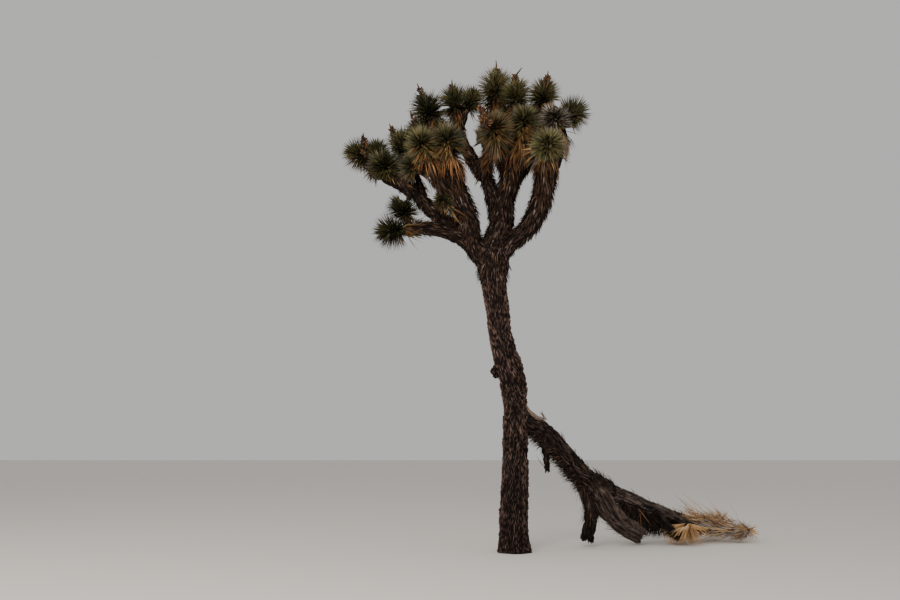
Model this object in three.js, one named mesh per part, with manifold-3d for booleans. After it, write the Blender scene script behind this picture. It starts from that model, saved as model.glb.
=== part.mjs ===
// A joshua tree rooted in level ground: a leaning trunk, shaggy boughs that end in heads of dagger leaves,
// and one old bough that has broken down from the trunk and leans on the ground with its dead heads.
// Millimetres, +Z up. The origin is the middle of the flat cut under the trunk, +X is the side that the broken
// bough falls to, and +Y is the back of the crown.
import * as THREE from "three";
import { mergeVertices } from "three/addons/utils/BufferGeometryUtils.js";
import Module from "manifold-3d";

const wasm = await Module();
wasm.setup();

// Gap between neighbours, the number of sides of the faceted limbs and the length of one facet
const CLEARANCE = 0.3;
const TRUNK_SIDES = 14;
const LIMB_SIDES = 8;
const STEM_SIDES = 6;
const STRIP_SIDES = 4;
const STEP_ALONG = 400;

// Trunk: its height above the ground, how far its middle has swayed from the origin, and its thickness there
const TRUNK = [
  { height: 0, sway: [0, 0], thick: 520 },
  { height: 130, sway: [0, 0], thick: 460 },
  { height: 610, sway: [10, 5], thick: 418 },
  { height: 1200, sway: [30, 15], thick: 398 },
  { height: 1700, sway: [42, 20], thick: 366 },
  { height: 2180, sway: [32, 15], thick: 372 },
  { height: 2480, sway: [2, 0], thick: 436 },
  { height: 2780, sway: [-62, -20], thick: 424 },
  { height: 3130, sway: [-148, -25], thick: 366 },
  { height: 3570, sway: [-205, -15], thick: 352 },
  { height: 4120, sway: [-270, 0], thick: 400 },
  { height: 4380, sway: [-280, 0], thick: 488 },
  { height: 4540, sway: [-300, 0], thick: 560 },
  { height: 4640, sway: [-300, 0], thick: 330 },
];
const KNOB = { place: [-262, -40, 2660], reach: [62, 70, 118] };

// Leaves, the stem that carries them and the old fruit stalks
const LEAF = { length: 322, wide: 110, thick: 34, shoulder: 0.44, rootDepth: 0.2 };
const HEAD = { stem: 250, heart: 170, sideStem: 165, stemShare: 0.92, lowRoot: 0.5, highRoot: 0.72 };
// A head's dense heart, as its reach from the aim at each distance along it
const CORE = [
  { along: 0, reach: 0 },
  { along: 0, reach: "stem" },
  { along: 65, reach: 160 },
  { along: 180, reach: 212 },
  { along: 295, reach: 140 },
  { along: 340, reach: 0 },
];
const GREEN_FAN = { leaves: 22, lowest: -0.62, highest: 0.98, coreShare: 1 };
const DEAD_FAN = { leaves: 14, lowest: -0.9, highest: 0.6, coreShare: 0.5 };
const LEAF_JITTER = { turn: 0.32, shortest: 0.82 };
const STALK = { thick: 34, tipShare: 0.25 };
const FRUIT = { count: 3, length: 62, thick: 40, first: 0.42, last: 0.84 };
const SHORTER_TRIES = [1, 0.86, 0.72, 0.6];
const LEAF_GAP = 1;
const GROUND_GAP = 4;
const GOLDEN_TURN = Math.PI * (3 - Math.sqrt(5));

// Strips of torn wood that still hang between the trunk and the broken bough, fused on the bough
const TORN_STRIPS = [
  { bends: [[205, 60, 2350], [300, 90, 2200], [560, 180, 2040]], thick: [90, 60] },
  { bends: [[190, 130, 2330], [320, 170, 2170], [600, 250, 1980]], thick: [80, 60] },
];

// Limbs. Each leaves its parent at a share of the parent's length, runs through its bends to the heart of the head
// that it carries, and its last stretch follows the head's aim. Thick is its thickness at the fork and at the head.
const LIMBS = [
  {
    name: "inner_left_bough", from: "trunk", at: 0.945,
    bends: [[-610, -90, 4680], [-670, -270, 5090], [-845, -500, 5440], [-930, -720, 5760]],
    heart: [-1000, -930, 6070], aim: [-0.02, -1, 0.42], thick: [390, 330], head: "inner_left_head",
  },
  {
    name: "centre_bough", from: "trunk", at: 0.98,
    bends: [[-225, 20, 4720], [-130, 0, 5060], [-95, -50, 5400], [-20, -140, 5700], [60, -320, 6050]],
    heart: [190, -560, 6510], aim: [0.1, -0.75, 0.75], thick: [460, 210], head: "centre_front_head",
  },
  {
    name: "right_bough", from: "trunk", at: 0.95,
    bends: [[-55, -50, 4670], [275, -200, 4900], [430, -330, 5150], [465, -450, 5370], [485, -720, 5650]],
    heart: [500, -1010, 5990], aim: [0, -1, 0.22], thick: [340, 340], head: "right_front_head",
  },
  {
    name: "far_left_bough", from: "inner_left_bough", at: 0.14,
    bends: [[-990, -130, 5030], [-1350, -140, 5350], [-1550, -160, 5540], [-1770, -220, 5710]],
    heart: [-1980, -360, 5860], aim: [-0.62, -0.6, 0.5], thick: [310, 240], head: "far_left_head",
  },
  {
    name: "low_left_bough", from: "far_left_bough", at: 0.1,
    bends: [[-990, -180, 4820], [-1270, -220, 4910], [-1540, -260, 4910]],
    heart: [-1850, -300, 4840], aim: [-1, -0.15, -0.12], thick: [260, 180], head: "low_left_head",
  },
  {
    name: "outer_left_bough", from: "far_left_bough", at: 0.7, bends: [[-2180, 20, 5975]],
    heart: [-2480, 110, 6240], aim: [-1, 0.05, 0.42], thick: [270, 250], head: "outer_left_head",
  },
  {
    name: "left_front_bough", from: "inner_left_bough", at: 0.5, bends: [[-1090, -640, 5490], [-1260, -800, 5750]],
    heart: [-1370, -930, 6020], aim: [-0.3, -0.9, 0.5], thick: [260, 230], head: "left_front_head",
  },
  {
    name: "left_back_bough", from: "inner_left_bough", at: 0.2, bends: [[-830, 240, 5420], [-1020, 420, 6180]],
    heart: [-1310, 500, 7115], aim: [-0.5, 0, 0.85], thick: [250, 200], head: "left_top_head",
  },
  {
    name: "rear_left_bough", from: "left_back_bough", at: 0.36, bends: [[-1060, 760, 6120]],
    heart: [-1130, 1190, 6710], aim: [-0.2, 0.75, 0.6], thick: [200, 190], head: "rear_left_head",
  },
  {
    name: "centre_left_bough", from: "centre_bough", at: 0.2,
    bends: [[-225, 0, 5220], [-325, 0, 5630], [-490, 20, 5940], [-700, 50, 6260], [-820, 100, 6580]],
    heart: [-870, 150, 7100], aim: [-0.25, 0.05, 1], thick: [260, 220], head: "centre_left_head",
  },
  {
    name: "centre_near_bough", from: "centre_left_bough", at: 0.42, bends: [[-350, -350, 6040]],
    heart: [-270, -760, 6350], aim: [-0.1, -0.85, 0.5], thick: [210, 200], head: "centre_near_head",
  },
  {
    name: "top_bough", from: "centre_bough", at: 0.56, bends: [[-30, 180, 6140], [-100, 280, 6770]],
    heart: [-190, 300, 7420], aim: [-0.03, 0, 1], thick: [220, 200], head: "top_head",
  },
  {
    name: "top_near_bough", from: "centre_bough", at: 0.68, bends: [[90, -90, 6600]],
    heart: [140, -60, 7170], aim: [0.12, -0.15, 1], thick: [200, 190], head: "top_near_head",
  },
  {
    name: "top_right_bough", from: "centre_bough", at: 0.42,
    bends: [[100, 120, 5800], [300, 280, 6190], [490, 420, 6700]],
    heart: [650, 500, 7380], aim: [0.1, 0, 1], thick: [240, 200], head: "top_right_head",
  },
  {
    name: "rear_bough", from: "centre_bough", at: 0.26, bends: [[40, 420, 5720], [60, 800, 6390]],
    heart: [80, 1150, 7110], aim: [0, 0.55, 0.85], thick: [250, 200], head: "rear_top_head",
  },
  {
    name: "rear_centre_bough", from: "rear_bough", at: 0.46, bends: [[-80, 1150, 6420]],
    heart: [-300, 1500, 6960], aim: [-0.35, 0.9, 0.3], thick: [190, 180], head: "rear_centre_head",
  },
  {
    name: "outer_right_bough", from: "right_bough", at: 0.42,
    bends: [[655, -180, 5800], [800, -50, 6200], [845, 0, 6560]],
    heart: [990, 40, 6870], aim: [0.85, 0.15, 0.5], thick: [230, 200], head: "outer_right_head",
  },
  {
    name: "rear_right_bough", from: "right_bough", at: 0.34, bends: [[510, 200, 5710], [620, 700, 6200]],
    heart: [700, 1130, 6650], aim: [0.4, 0.85, 0.45], thick: [220, 190], head: "rear_right_head",
  },
  {
    name: "broken_bough", from: "trunk", at: 0.47, bends: [[520, 210, 1800], [840, 320, 1430], [1180, 460, 1080]],
    tip: [1560, 650, 880], thick: [290, 330], strips: TORN_STRIPS, dead: true,
  },
  {
    name: "broken_bough_right", from: "broken_bough", at: 0.9, bends: [[2300, 1090, 600], [3020, 1450, 370]],
    heart: [3640, 1700, 280], aim: [0.9, 0.4, -0.04], size: 0.9, thick: [270, 140], head: "dead_tip_head",
    dead: true,
  },
  {
    name: "broken_bough_middle", from: "broken_bough", at: 0.84, bends: [[1700, 700, 440]],
    tip: [2080, 880, 135], thick: [290, 210], dead: true,
  },
  {
    name: "broken_bough_stub", from: "broken_bough", at: 0.66, bends: [[1250, 470, 620]],
    tip: [1180, 540, 110], thick: [190, 180], dead: true,
  },
  {
    name: "broken_bough_twig", from: "broken_bough_right", at: 0.6, bends: [[3160, 1230, 230]],
    heart: [3900, 1240, 190], aim: [1, 0, -0.02], size: 0.75, thick: [120, 90], head: "dead_far_head",
    dead: true,
  },
  {
    name: "broken_bough_spur", from: "broken_bough", at: 0.24, bends: [[520, 190, 1450]],
    tip: [535, 180, 1190], thick: [110, 80], dead: true,
  },
];

// Heads that stand on a short stem of their own, at the side of a limb
const SIDE_HEADS = [
  {
    name: "low_left_upper_head", from: "low_left_bough", at: 0.74,
    heart: [-1670, -300, 5190], aim: [-0.4, -0.2, 0.85], size: 0.85,
  },
  {
    name: "left_upper_head", from: "far_left_bough", at: 0.72,
    heart: [-1740, 60, 6310], aim: [-0.15, 0.1, 1],
  },
  {
    name: "left_shaded_head", from: "far_left_bough", at: 0.58,
    heart: [-1520, -500, 5800], aim: [-0.15, -1, 0.1], size: 0.85,
  },
  {
    name: "left_small_head", from: "inner_left_bough", at: 0.34,
    heart: [-1060, -560, 5250], aim: [-0.55, -0.7, 0.35], size: 0.6,
  },
  {
    name: "rear_left_side_head", from: "rear_left_bough", at: 0.34,
    heart: [-1470, 950, 6870], aim: [-0.5, 0.4, 0.8],
  },
  {
    name: "outer_left_upper_head", from: "outer_left_bough", at: 0.4,
    heart: [-2120, 60, 6180], aim: [0, 0.2, 1], size: 0.85,
  },
  {
    name: "centre_left_side_head", from: "centre_left_bough", at: 0.84,
    heart: [-590, 30, 7110], aim: [0.35, -0.15, 1], size: 0.85,
  },
  {
    name: "outer_right_near_head", from: "outer_right_bough", at: 0.62,
    heart: [700, -300, 6670], aim: [-0.45, -0.6, 0.6], size: 0.9,
  },
  {
    name: "rear_top_right_head", from: "top_right_bough", at: 0.45,
    heart: [530, 1080, 7160], aim: [0.05, 0.8, 0.55],
  },
  {
    name: "dead_side_head", from: "broken_bough_right", at: 0.46,
    heart: [2920, 1060, 200], aim: [0.8, -0.5, -0.15], size: 0.85, dead: true,
  },
];

// Old fruit stalks, as the reach from a head's heart to the stalk's tip; one is fat with fruit
const STALKS = {
  top_head: { reach: [0, -20, 490] },
  top_near_head: { reach: [70, -30, 420] },
  top_right_head: { reach: [50, 0, 370] },
  centre_left_head: { reach: [-60, 0, 420] },
  left_top_head: { reach: [-220, 0, 430] },
  left_upper_head: { reach: [-190, 0, 380] },
  outer_left_head: { reach: [60, -40, 330] },
  left_front_head: { reach: [-230, 160, 520] },
  centre_near_head: { reach: [-190, 60, 370], thick: 110 },
  rear_top_head: { reach: [-20, 160, 400] },
};

const DRY_BARK = new THREE.MeshStandardMaterial({ color: 0x4a3c33, roughness: 0.95, metalness: 0 });
const BOUGH_THATCH = new THREE.MeshStandardMaterial({ color: 0x55402f, roughness: 0.95, metalness: 0 });
const WEATHERED_WOOD = new THREE.MeshStandardMaterial({ color: 0x6f6358, roughness: 0.95, metalness: 0 });
const GREEN_LEAVES = new THREE.MeshStandardMaterial({ color: 0x5b6440, roughness: 0.6, metalness: 0 });
const STRAW_LEAVES = new THREE.MeshStandardMaterial({ color: 0xb08f5c, roughness: 0.85, metalness: 0 });

const vector = (place) => new THREE.Vector3(...place);

function seeded(seed) {
  let state = seed;
  return () => {
    state = (state + 0x6d2b79f5) | 0;
    let t = Math.imul(state ^ (state >>> 15), 1 | state);
    t = (t + Math.imul(t ^ (t >>> 7), 61 | t)) ^ t;
    return ((t ^ (t >>> 14)) >>> 0) / 4294967296;
  };
}

function solidFrom(points, faces) {
  const geometry = new THREE.BufferGeometry();
  geometry.setAttribute("position", new THREE.Float32BufferAttribute(points.flatMap((p) => [p.x, p.y, p.z]), 3));
  geometry.setIndex(faces);
  return solidOfGeometry(geometry);
}

function solidOfGeometry(geometry) {
  const bare = geometry.clone();
  bare.deleteAttribute("normal");
  bare.deleteAttribute("uv");
  const merged = mergeVertices(bare, 1e-3);
  return new wasm.Manifold(
    new wasm.Mesh({
      numProp: 3,
      vertProperties: new Float32Array(merged.attributes.position.array),
      triVerts: new Uint32Array(merged.index.array),
    }),
  );
}

function geometryOfSolid(solid) {
  const mesh = solid.getMesh();
  const geometry = new THREE.BufferGeometry();
  geometry.setAttribute("position", new THREE.BufferAttribute(mesh.vertProperties, mesh.numProp));
  geometry.setIndex(new THREE.BufferAttribute(mesh.triVerts, 1));
  geometry.computeVertexNormals();
  return geometry;
}

function largestPiece(solid) {
  return solid.decompose().sort((a, b) => b.volume() - a.volume())[0];
}

// Rings of points joined into one closed skin, with a flat fan over each end
function skinOfRings(rings) {
  const sides = rings[0].length;
  const points = rings.flat();
  const faces = [];
  for (let ring = 0; ring < rings.length - 1; ring++) {
    for (let side = 0; side < sides; side++) {
      const a = ring * sides + side;
      const b = ring * sides + ((side + 1) % sides);
      faces.push(a, b, b + sides, a, b + sides, a + sides);
    }
  }
  const last = (rings.length - 1) * sides;
  for (let side = 1; side < sides - 1; side++) {
    faces.push(0, side + 1, side, last, last + side, last + side + 1);
  }
  return solidFrom(points, faces);
}

// A limb round a curve, tapering from one thickness to the other; grown makes it that much fatter all round
function limbSolid(curve, thick, sides, grown = 0) {
  const steps = Math.max(2, Math.round(curve.getLength() / STEP_ALONG));
  const frames = curve.computeFrenetFrames(steps, false);
  const rings = [];
  for (let step = 0; step <= steps; step++) {
    const share = step / steps;
    const centre = curve.getPointAt(share);
    if (step === 0) centre.addScaledVector(frames.tangents[0], -grown);
    if (step === steps) centre.addScaledVector(frames.tangents[steps], grown);
    const radius = THREE.MathUtils.lerp(thick[0], thick[1], share) / 2 + grown;
    const ring = [];
    for (let side = 0; side < sides; side++) {
      const turn = (side / sides) * 2 * Math.PI;
      ring.push(
        centre.clone()
          .addScaledVector(frames.normals[step], Math.cos(turn) * radius)
          .addScaledVector(frames.binormals[step], Math.sin(turn) * radius),
      );
    }
    rings.push(ring);
  }
  return skinOfRings(rings);
}

// The trunk's rings stay level, so that its foot is a flat cut at the ground
function trunkSolid(grown = 0) {
  const rings = TRUNK.map(({ height, sway, thick }, station) => {
    const radius = thick / 2 + grown;
    const lift = station === TRUNK.length - 1 ? grown : 0;
    return Array.from({ length: TRUNK_SIDES }, (_, side) => {
      const turn = (side / TRUNK_SIDES) * 2 * Math.PI;
      return new THREE.Vector3(
        sway[0] + Math.cos(turn) * radius,
        sway[1] + Math.sin(turn) * radius,
        height + lift,
      );
    });
  });
  const knob = new THREE.IcosahedronGeometry(1, 0);
  knob.scale(...KNOB.reach.map((reach) => reach + grown));
  knob.translate(...KNOB.place);
  return skinOfRings(rings).add(solidOfGeometry(knob));
}

const trunkLine = new THREE.CatmullRomCurve3(
  TRUNK.map(({ height, sway }) => new THREE.Vector3(sway[0], sway[1], height)),
);
const lines = { trunk: trunkLine };

// The middle line of a limb that ends at a head or at a bare tip, or of a side head's stem up to its heart
function lineTo(limb) {
  const root = lines[limb.from].getPointAt(limb.at);
  const bends = (limb.bends ?? []).map(vector);
  if (limb.tip) return new THREE.CatmullRomCurve3([root, ...bends, vector(limb.tip)]);
  const aim = vector(limb.aim).normalize();
  const foot = vector(limb.heart).addScaledVector(aim, -HEAD.heart * (limb.size ?? 1));
  const neck = foot.clone().addScaledVector(aim, -HEAD.heart);
  if (limb.head) return new THREE.CatmullRomCurve3([root, ...bends, neck, foot]);
  return new THREE.CatmullRomCurve3([root, neck, foot, vector(limb.heart)]);
}

// The dense heart of a head, turned round its aim, that the leaves stand out of
function coreSolid(foot, aim, stemThick, size, coreShare) {
  const profile = CORE.map(({ along, reach }) =>
    new THREE.Vector2(reach === "stem" ? stemThick / 2 : reach * size * coreShare, along * size));
  const core = new THREE.LatheGeometry(profile, STEM_SIDES);
  core.applyQuaternion(new THREE.Quaternion().setFromUnitVectors(new THREE.Vector3(0, 1, 0), aim));
  core.translate(foot.x, foot.y, foot.z);
  return solidOfGeometry(core);
}

// One dagger leaf: a root point deep in the head, four shoulders and a tip
function leafSolid(root, along, across, length, size) {
  const middle = root.clone().addScaledVector(along, length * LEAF.shoulder);
  const up = new THREE.Vector3().crossVectors(along, across).normalize();
  const half = (LEAF.wide * size) / 2;
  const points = [
    root,
    middle.clone().addScaledVector(across, half),
    middle.clone().addScaledVector(up, LEAF.thick / 2),
    middle.clone().addScaledVector(across, -half),
    middle.clone().addScaledVector(up, -LEAF.thick / 2),
    root.clone().addScaledVector(along, length),
  ];
  const faces = [];
  for (let corner = 0; corner < 4; corner++) {
    const next = ((corner + 1) % 4) + 1;
    faces.push(0, next, corner + 1, 5, corner + 1, next);
  }
  return { points, solid: solidFrom(points, faces) };
}

// A dry stalk with its old fruit capsules, from the head's heart outwards
function fruitStalk(heart, { reach, thick = STALK.thick }) {
  const tip = heart.clone().add(vector(reach));
  const line = new THREE.LineCurve3(heart, tip);
  const pieces = [limbSolid(line, [thick, thick * STALK.tipShare], STRIP_SIDES)];
  for (let fruit = 0; fruit < FRUIT.count; fruit++) {
    const share = THREE.MathUtils.lerp(FRUIT.first, FRUIT.last, fruit / (FRUIT.count - 1));
    const turn = fruit * GOLDEN_TURN;
    const capsule = new THREE.OctahedronGeometry(1, 0);
    capsule.scale(FRUIT.thick / 2, FRUIT.thick / 2, FRUIT.length / 2);
    const outward = new THREE.Vector3(Math.cos(turn), Math.sin(turn), 0);
    const middle = line.getPoint(share).addScaledVector(outward, thick / 2);
    capsule.translate(middle.x, middle.y, middle.z);
    pieces.push(solidOfGeometry(capsule));
  }
  return wasm.Manifold.union(pieces);
}

// Trunk and limbs, each cut clear of those before it
const built = [];
function boxesMeet(a, b, room = 2 * LEAF_GAP) {
  const [p, q] = [a.boundingBox(), b.boundingBox()];
  return [0, 1, 2].every((k) => p.min[k] - room < q.max[k] && q.min[k] - room < p.max[k]);
}
function cutClear(solid, others) {
  let cut = solid;
  for (const other of others) {
    if (boxesMeet(cut, other.grown)) cut = cut.subtract(other.grown);
  }
  return largestPiece(cut);
}

built.push({ name: "trunk", solid: trunkSolid(), grown: trunkSolid(CLEARANCE), material: DRY_BARK });
for (const limb of LIMBS) {
  const line = lineTo(limb);
  lines[limb.name] = line;
  const strips = (limb.strips ?? []).map(({ bends, thick }) =>
    limbSolid(new THREE.CatmullRomCurve3(bends.map(vector)), thick, STRIP_SIDES));
  const whole = wasm.Manifold.union([limbSolid(line, limb.thick, LIMB_SIDES), ...strips]);
  const solid = cutClear(whole, built);
  const grown = limbSolid(line, limb.thick, LIMB_SIDES, CLEARANCE);
  built.push({ name: limb.name, solid, grown, material: limb.dead ? WEATHERED_WOOD : BOUGH_THATCH });
}
const limbsBuilt = [...built];

// Every head's core, stem and stalk stand first, because no leaf of any head may touch them. A core ends at the
// middle plane between its heart and every other heart.
const headPlaces = [...LIMBS.filter((limb) => limb.head), ...SIDE_HEADS];
const hearts = headPlaces.map(({ heart }) => vector(heart));
function headBody(head, seed) {
  const size = head.size ?? 1;
  const aim = vector(head.aim).normalize();
  const heart = vector(head.heart);
  const onLimb = Boolean(head.head);
  const fan = head.dead ? DEAD_FAN : GREEN_FAN;
  const stemThick = onLimb ? head.thick[1] * HEAD.stemShare : HEAD.sideStem * size;
  const foot = heart.clone().addScaledVector(aim, CLEARANCE - HEAD.heart * size);
  const top = foot.clone().addScaledVector(aim, HEAD.stem * size);
  const core = hearts.filter((other) => !other.equals(heart)).reduce((kept, other) => {
    const away = heart.clone().sub(other).normalize();
    const middle = heart.clone().lerp(other, 0.5);
    return kept.trimByPlane(away.toArray(), middle.dot(away) + CLEARANCE);
  }, coreSolid(foot, aim, stemThick, size, fan.coreShare));
  const pieces = [core];
  if (!onLimb) {
    const line = lineTo(head);
    pieces.push(limbSolid(line, [stemThick, stemThick], STEM_SIDES));
  }
  const name = head.head ?? head.name;
  if (STALKS[name]) pieces.push(fruitStalk(heart, STALKS[name]));
  const solid = cutClear(wasm.Manifold.union(pieces), limbsBuilt);
  return { name, solid, aim, foot, top, heart, size, stemThick, seed, fan, dead: Boolean(head.dead) };
}

const heads = headPlaces.map((head, place) => headBody(head, place + 1));

// A head's space is all that lies nearer to its heart than to any other head's, above the ground
function insideSpace(head, points) {
  return points.every((point) => {
    if (point.z < GROUND_GAP) return false;
    return heads.every((other) => {
      if (other === head) return true;
      const between = other.heart.clone().sub(head.heart);
      const apart = between.length();
      return point.clone().sub(head.heart).dot(between) / apart < apart / 2 - LEAF_GAP;
    });
  });
}

function touchesOthers(head, leaf) {
  const others = [...limbsBuilt, ...heads.filter((other) => other !== head)];
  return others.some((other) => boxesMeet(leaf, other.solid) && leaf.minGap(other.solid, 2 * LEAF_GAP) < LEAF_GAP);
}

// Leaves fan out round the aim by equal steps and a golden turn. One that finds no room is tried shorter, and is
// left out in the end.
function leavesOf(head) {
  const random = seeded(head.seed);
  const steep = Math.abs(head.aim.z) > 0.98;
  const side = (steep ? new THREE.Vector3(1, 0, 0) : new THREE.Vector3(0, 0, 1)).cross(head.aim).normalize();
  const upright = head.aim.clone().cross(side);
  const count = Math.round(head.fan.leaves * Math.min(1, head.size + 0.1));
  const leaves = [];
  for (let place = 0; place < count; place++) {
    const share = (place + 0.5) / count;
    const cosine = THREE.MathUtils.lerp(head.fan.lowest, head.fan.highest, share);
    const turn = place * GOLDEN_TURN + (random() - 0.5) * LEAF_JITTER.turn;
    const outward = side.clone().multiplyScalar(Math.cos(turn)).addScaledVector(upright, Math.sin(turn));
    const along = head.aim.clone().multiplyScalar(cosine).addScaledVector(outward, Math.sqrt(1 - cosine * cosine));
    const across = new THREE.Vector3().crossVectors(head.aim, outward);
    const root = head.foot.clone().lerp(head.top, THREE.MathUtils.lerp(HEAD.lowRoot, HEAD.highRoot, share))
      .addScaledVector(outward, (head.stemThick / 2) * LEAF.rootDepth);
    const full = LEAF.length * head.size * THREE.MathUtils.lerp(1, LEAF_JITTER.shortest, random());
    for (const shorter of SHORTER_TRIES) {
      const leaf = leafSolid(root, along, across, full * shorter, head.size);
      if (insideSpace(head, leaf.points) && !touchesOthers(head, leaf.solid)) {
        leaves.push(leaf.solid);
        break;
      }
    }
  }
  return leaves;
}

const tree = new THREE.Group();
function addNode(name, solid, material) {
  const mesh = new THREE.Mesh(geometryOfSolid(solid), material);
  mesh.name = name;
  tree.add(mesh);
}
for (const { name, solid, material } of built) addNode(name, solid, material);
for (const head of heads) {
  const whole = largestPiece(wasm.Manifold.union([head.solid, ...leavesOf(head)]));
  addNode(head.name, whole, head.dead ? STRAW_LEAVES : GREEN_LEAVES);
}

export default tree;
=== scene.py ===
import itertools
import math

import bpy
import numpy as np
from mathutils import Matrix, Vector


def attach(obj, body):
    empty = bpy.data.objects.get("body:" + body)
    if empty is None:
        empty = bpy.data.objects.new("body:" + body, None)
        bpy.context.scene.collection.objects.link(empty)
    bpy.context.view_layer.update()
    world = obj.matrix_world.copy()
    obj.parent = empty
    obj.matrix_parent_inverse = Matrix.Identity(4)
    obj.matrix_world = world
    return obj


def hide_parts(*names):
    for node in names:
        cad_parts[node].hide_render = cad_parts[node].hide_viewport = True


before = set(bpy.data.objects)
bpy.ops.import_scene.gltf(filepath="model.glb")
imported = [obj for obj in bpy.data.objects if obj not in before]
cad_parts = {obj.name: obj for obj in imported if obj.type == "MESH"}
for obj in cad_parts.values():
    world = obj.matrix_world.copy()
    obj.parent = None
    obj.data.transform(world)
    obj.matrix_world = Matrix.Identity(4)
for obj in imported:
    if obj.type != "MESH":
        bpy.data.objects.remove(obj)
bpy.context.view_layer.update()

# Trunk
# One leaning trunk under dry corky bark, which has split into small upright plates with reddish clefts. It
# swells at an old knee, carries a dark burl on its left side, and stands rooted in level ground.

# height, sway to the right, sway to the back, thickness
TRUNK = np.array([
    (0.00, 0.000, 0.000, 0.520), (0.13, 0.000, 0.000, 0.460), (0.61, 0.010, 0.005, 0.418),
    (1.20, 0.030, 0.015, 0.398), (1.70, 0.042, 0.020, 0.366), (2.18, 0.044, 0.015, 0.352),
    (2.48, 0.016, 0.000, 0.412), (2.78, -0.056, -0.020, 0.424), (3.13, -0.148, -0.025, 0.366),
    (3.57, -0.205, -0.015, 0.352), (4.12, -0.270, 0.000, 0.400), (4.38, -0.287, 0.000, 0.506),
    (4.54, -0.306, 0.000, 0.580), (4.64, -0.300, 0.000, 0.330),
])
TRUNK_ROUND, TRUNK_STEP = 236, 0.0115
PLATES_ROUND, PLATE_TALL, PLATE_PROUD = 62, 0.086, 0.032
PLATE_SLIM, CLEFT, PLATE_EDGE = 0.42, 0.07, 0.37
BARK_SUNK, LUMP_PROUD, GRIT_PROUD = 0.013, 0.012, 0.006
# how far the plates wander round the trunk and up it, and how much further at the knee
WANDER_ROUND, WANDER_UP = (0.006, 0.076), (0.02, 0.08)
KNEE_HEIGHT, KNEE_TALL, KNEE_PROUD, KNEE_PALER = 2.56, 0.22, 0.020, 0.7
FLARE_TALL, FLARE_PROUD = 0.5, 0.034
# how high painted shade reaches up from the trunk's foot, and how much darker it makes the bark there
SHADE_TALL, FOOT_DARKER = 1.4, 0.35
BURL_PLACE, BURL_REACH = (-0.250, 0.000, 2.70), (0.074, 0.074, 0.122)
BURL_ROWS, BURL_ROUND, BURL_POLE = 26, 40, 0.06
MIXING_PRIMES, SEED_PRIME, LAST_PRIME = np.array([73856093, 19349663, 83492791]), 9176471, 1274126177


def scatter(whole, seed):
    """An even random number from 0 to 1 for each row of whole numbers."""
    mixed = (whole.astype(np.int64) * MIXING_PRIMES[: whole.shape[-1]]).sum(-1) + seed * SEED_PRIME
    mixed = (mixed ^ (mixed >> 13)) * LAST_PRIME
    return ((mixed ^ (mixed >> 16)) & 0xFFFFFF) / 0xFFFFFF


def ease(share):
    """A share from 0 to 1 that leaves its ends gently."""
    return share * share * (3 - 2 * share)


def swells(places, size, seed):
    """Smooth random swells from -1 to 1 at each place, about size across."""
    cells = places / size
    low = np.floor(cells).astype(np.int64)
    part = ease(cells - low)
    total = np.zeros(places.shape[:-1])
    for corner in itertools.product((0, 1), repeat=3):
        total += np.where(corner, part, 1 - part).prod(-1) * scatter(low + corner, seed)
    return total * 2 - 1


def bark_plates(around, along, count, tall, seed):
    """Height of the bark from 0 in a cleft to 1 on a plate, and a random tint for each plate."""
    across = around * count
    nearest, second, tint = (np.full(across.shape, value) for value in (np.inf, np.inf, 0.0))
    for step_across, step_up in itertools.product((-1, 0, 1), repeat=2):
        column = np.floor(across).astype(np.int64) + step_across
        up = along / tall + scatter((column % count)[..., None], seed + 5)
        row = np.floor(up).astype(np.int64) + step_up
        plate = np.stack([column % count, row], -1)
        in_column, in_row = (0.14 + 0.72 * scatter(plate, seed + k) for k in (0, 1))
        apart = np.hypot(column + in_column - across, (row + in_row - up) * PLATE_SLIM)
        closer = apart < nearest
        second = np.where(closer, nearest, np.minimum(second, apart))
        tint = np.where(closer, scatter(plate, seed + 2), tint)
        nearest = np.where(closer, apart, nearest)
    return ease(np.clip((second - nearest - CLEFT) / PLATE_EDGE, 0, 1)), tint


def smooth_line(places, steps=60):
    """Close points on the smooth line through the given places, and how far along it each one is."""
    places = np.asarray(places, float)
    ends = np.vstack([2 * places[0] - places[1], places, 2 * places[-1] - places[-2]])
    points = [places[:1]]
    share = np.linspace(0, 1, steps + 1)[1:, None]
    for a, b, c, d in zip(ends, ends[1:], ends[2:], ends[3:]):
        gap_a, gap_b, gap_c = (max(np.linalg.norm(q - p) ** 0.5, 1e-4) for p, q in ((a, b), (b, c), (c, d)))
        slope_b = ((b - a) / gap_a - (c - a) / (gap_a + gap_b) + (c - b) / gap_b) * gap_b
        slope_c = ((c - b) / gap_b - (d - b) / (gap_b + gap_c) + (d - c) / gap_c) * gap_b
        points.append(b + share * slope_b + share ** 2 * (3 * (c - b) - 2 * slope_b - slope_c)
                      + share ** 3 * (slope_b + slope_c - 2 * (c - b)))
    points = np.vstack(points)
    return points, np.concatenate([[0], np.cumsum(np.linalg.norm(np.diff(points, axis=0), axis=1))])


def along_line(points, run, distance):
    return np.stack([np.interp(distance, run, points[:, axis]) for axis in range(points.shape[1])], -1)


def turns(sides):
    return np.arange(sides) / sides * 2 * np.pi


def rolled(turn, radius, along):
    """Places on a straight round stick, in which a bent one keeps the grain of its bark."""
    return np.stack(np.broadcast_arrays(np.cos(turn) * radius, np.sin(turn) * radius, along), -1)


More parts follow.
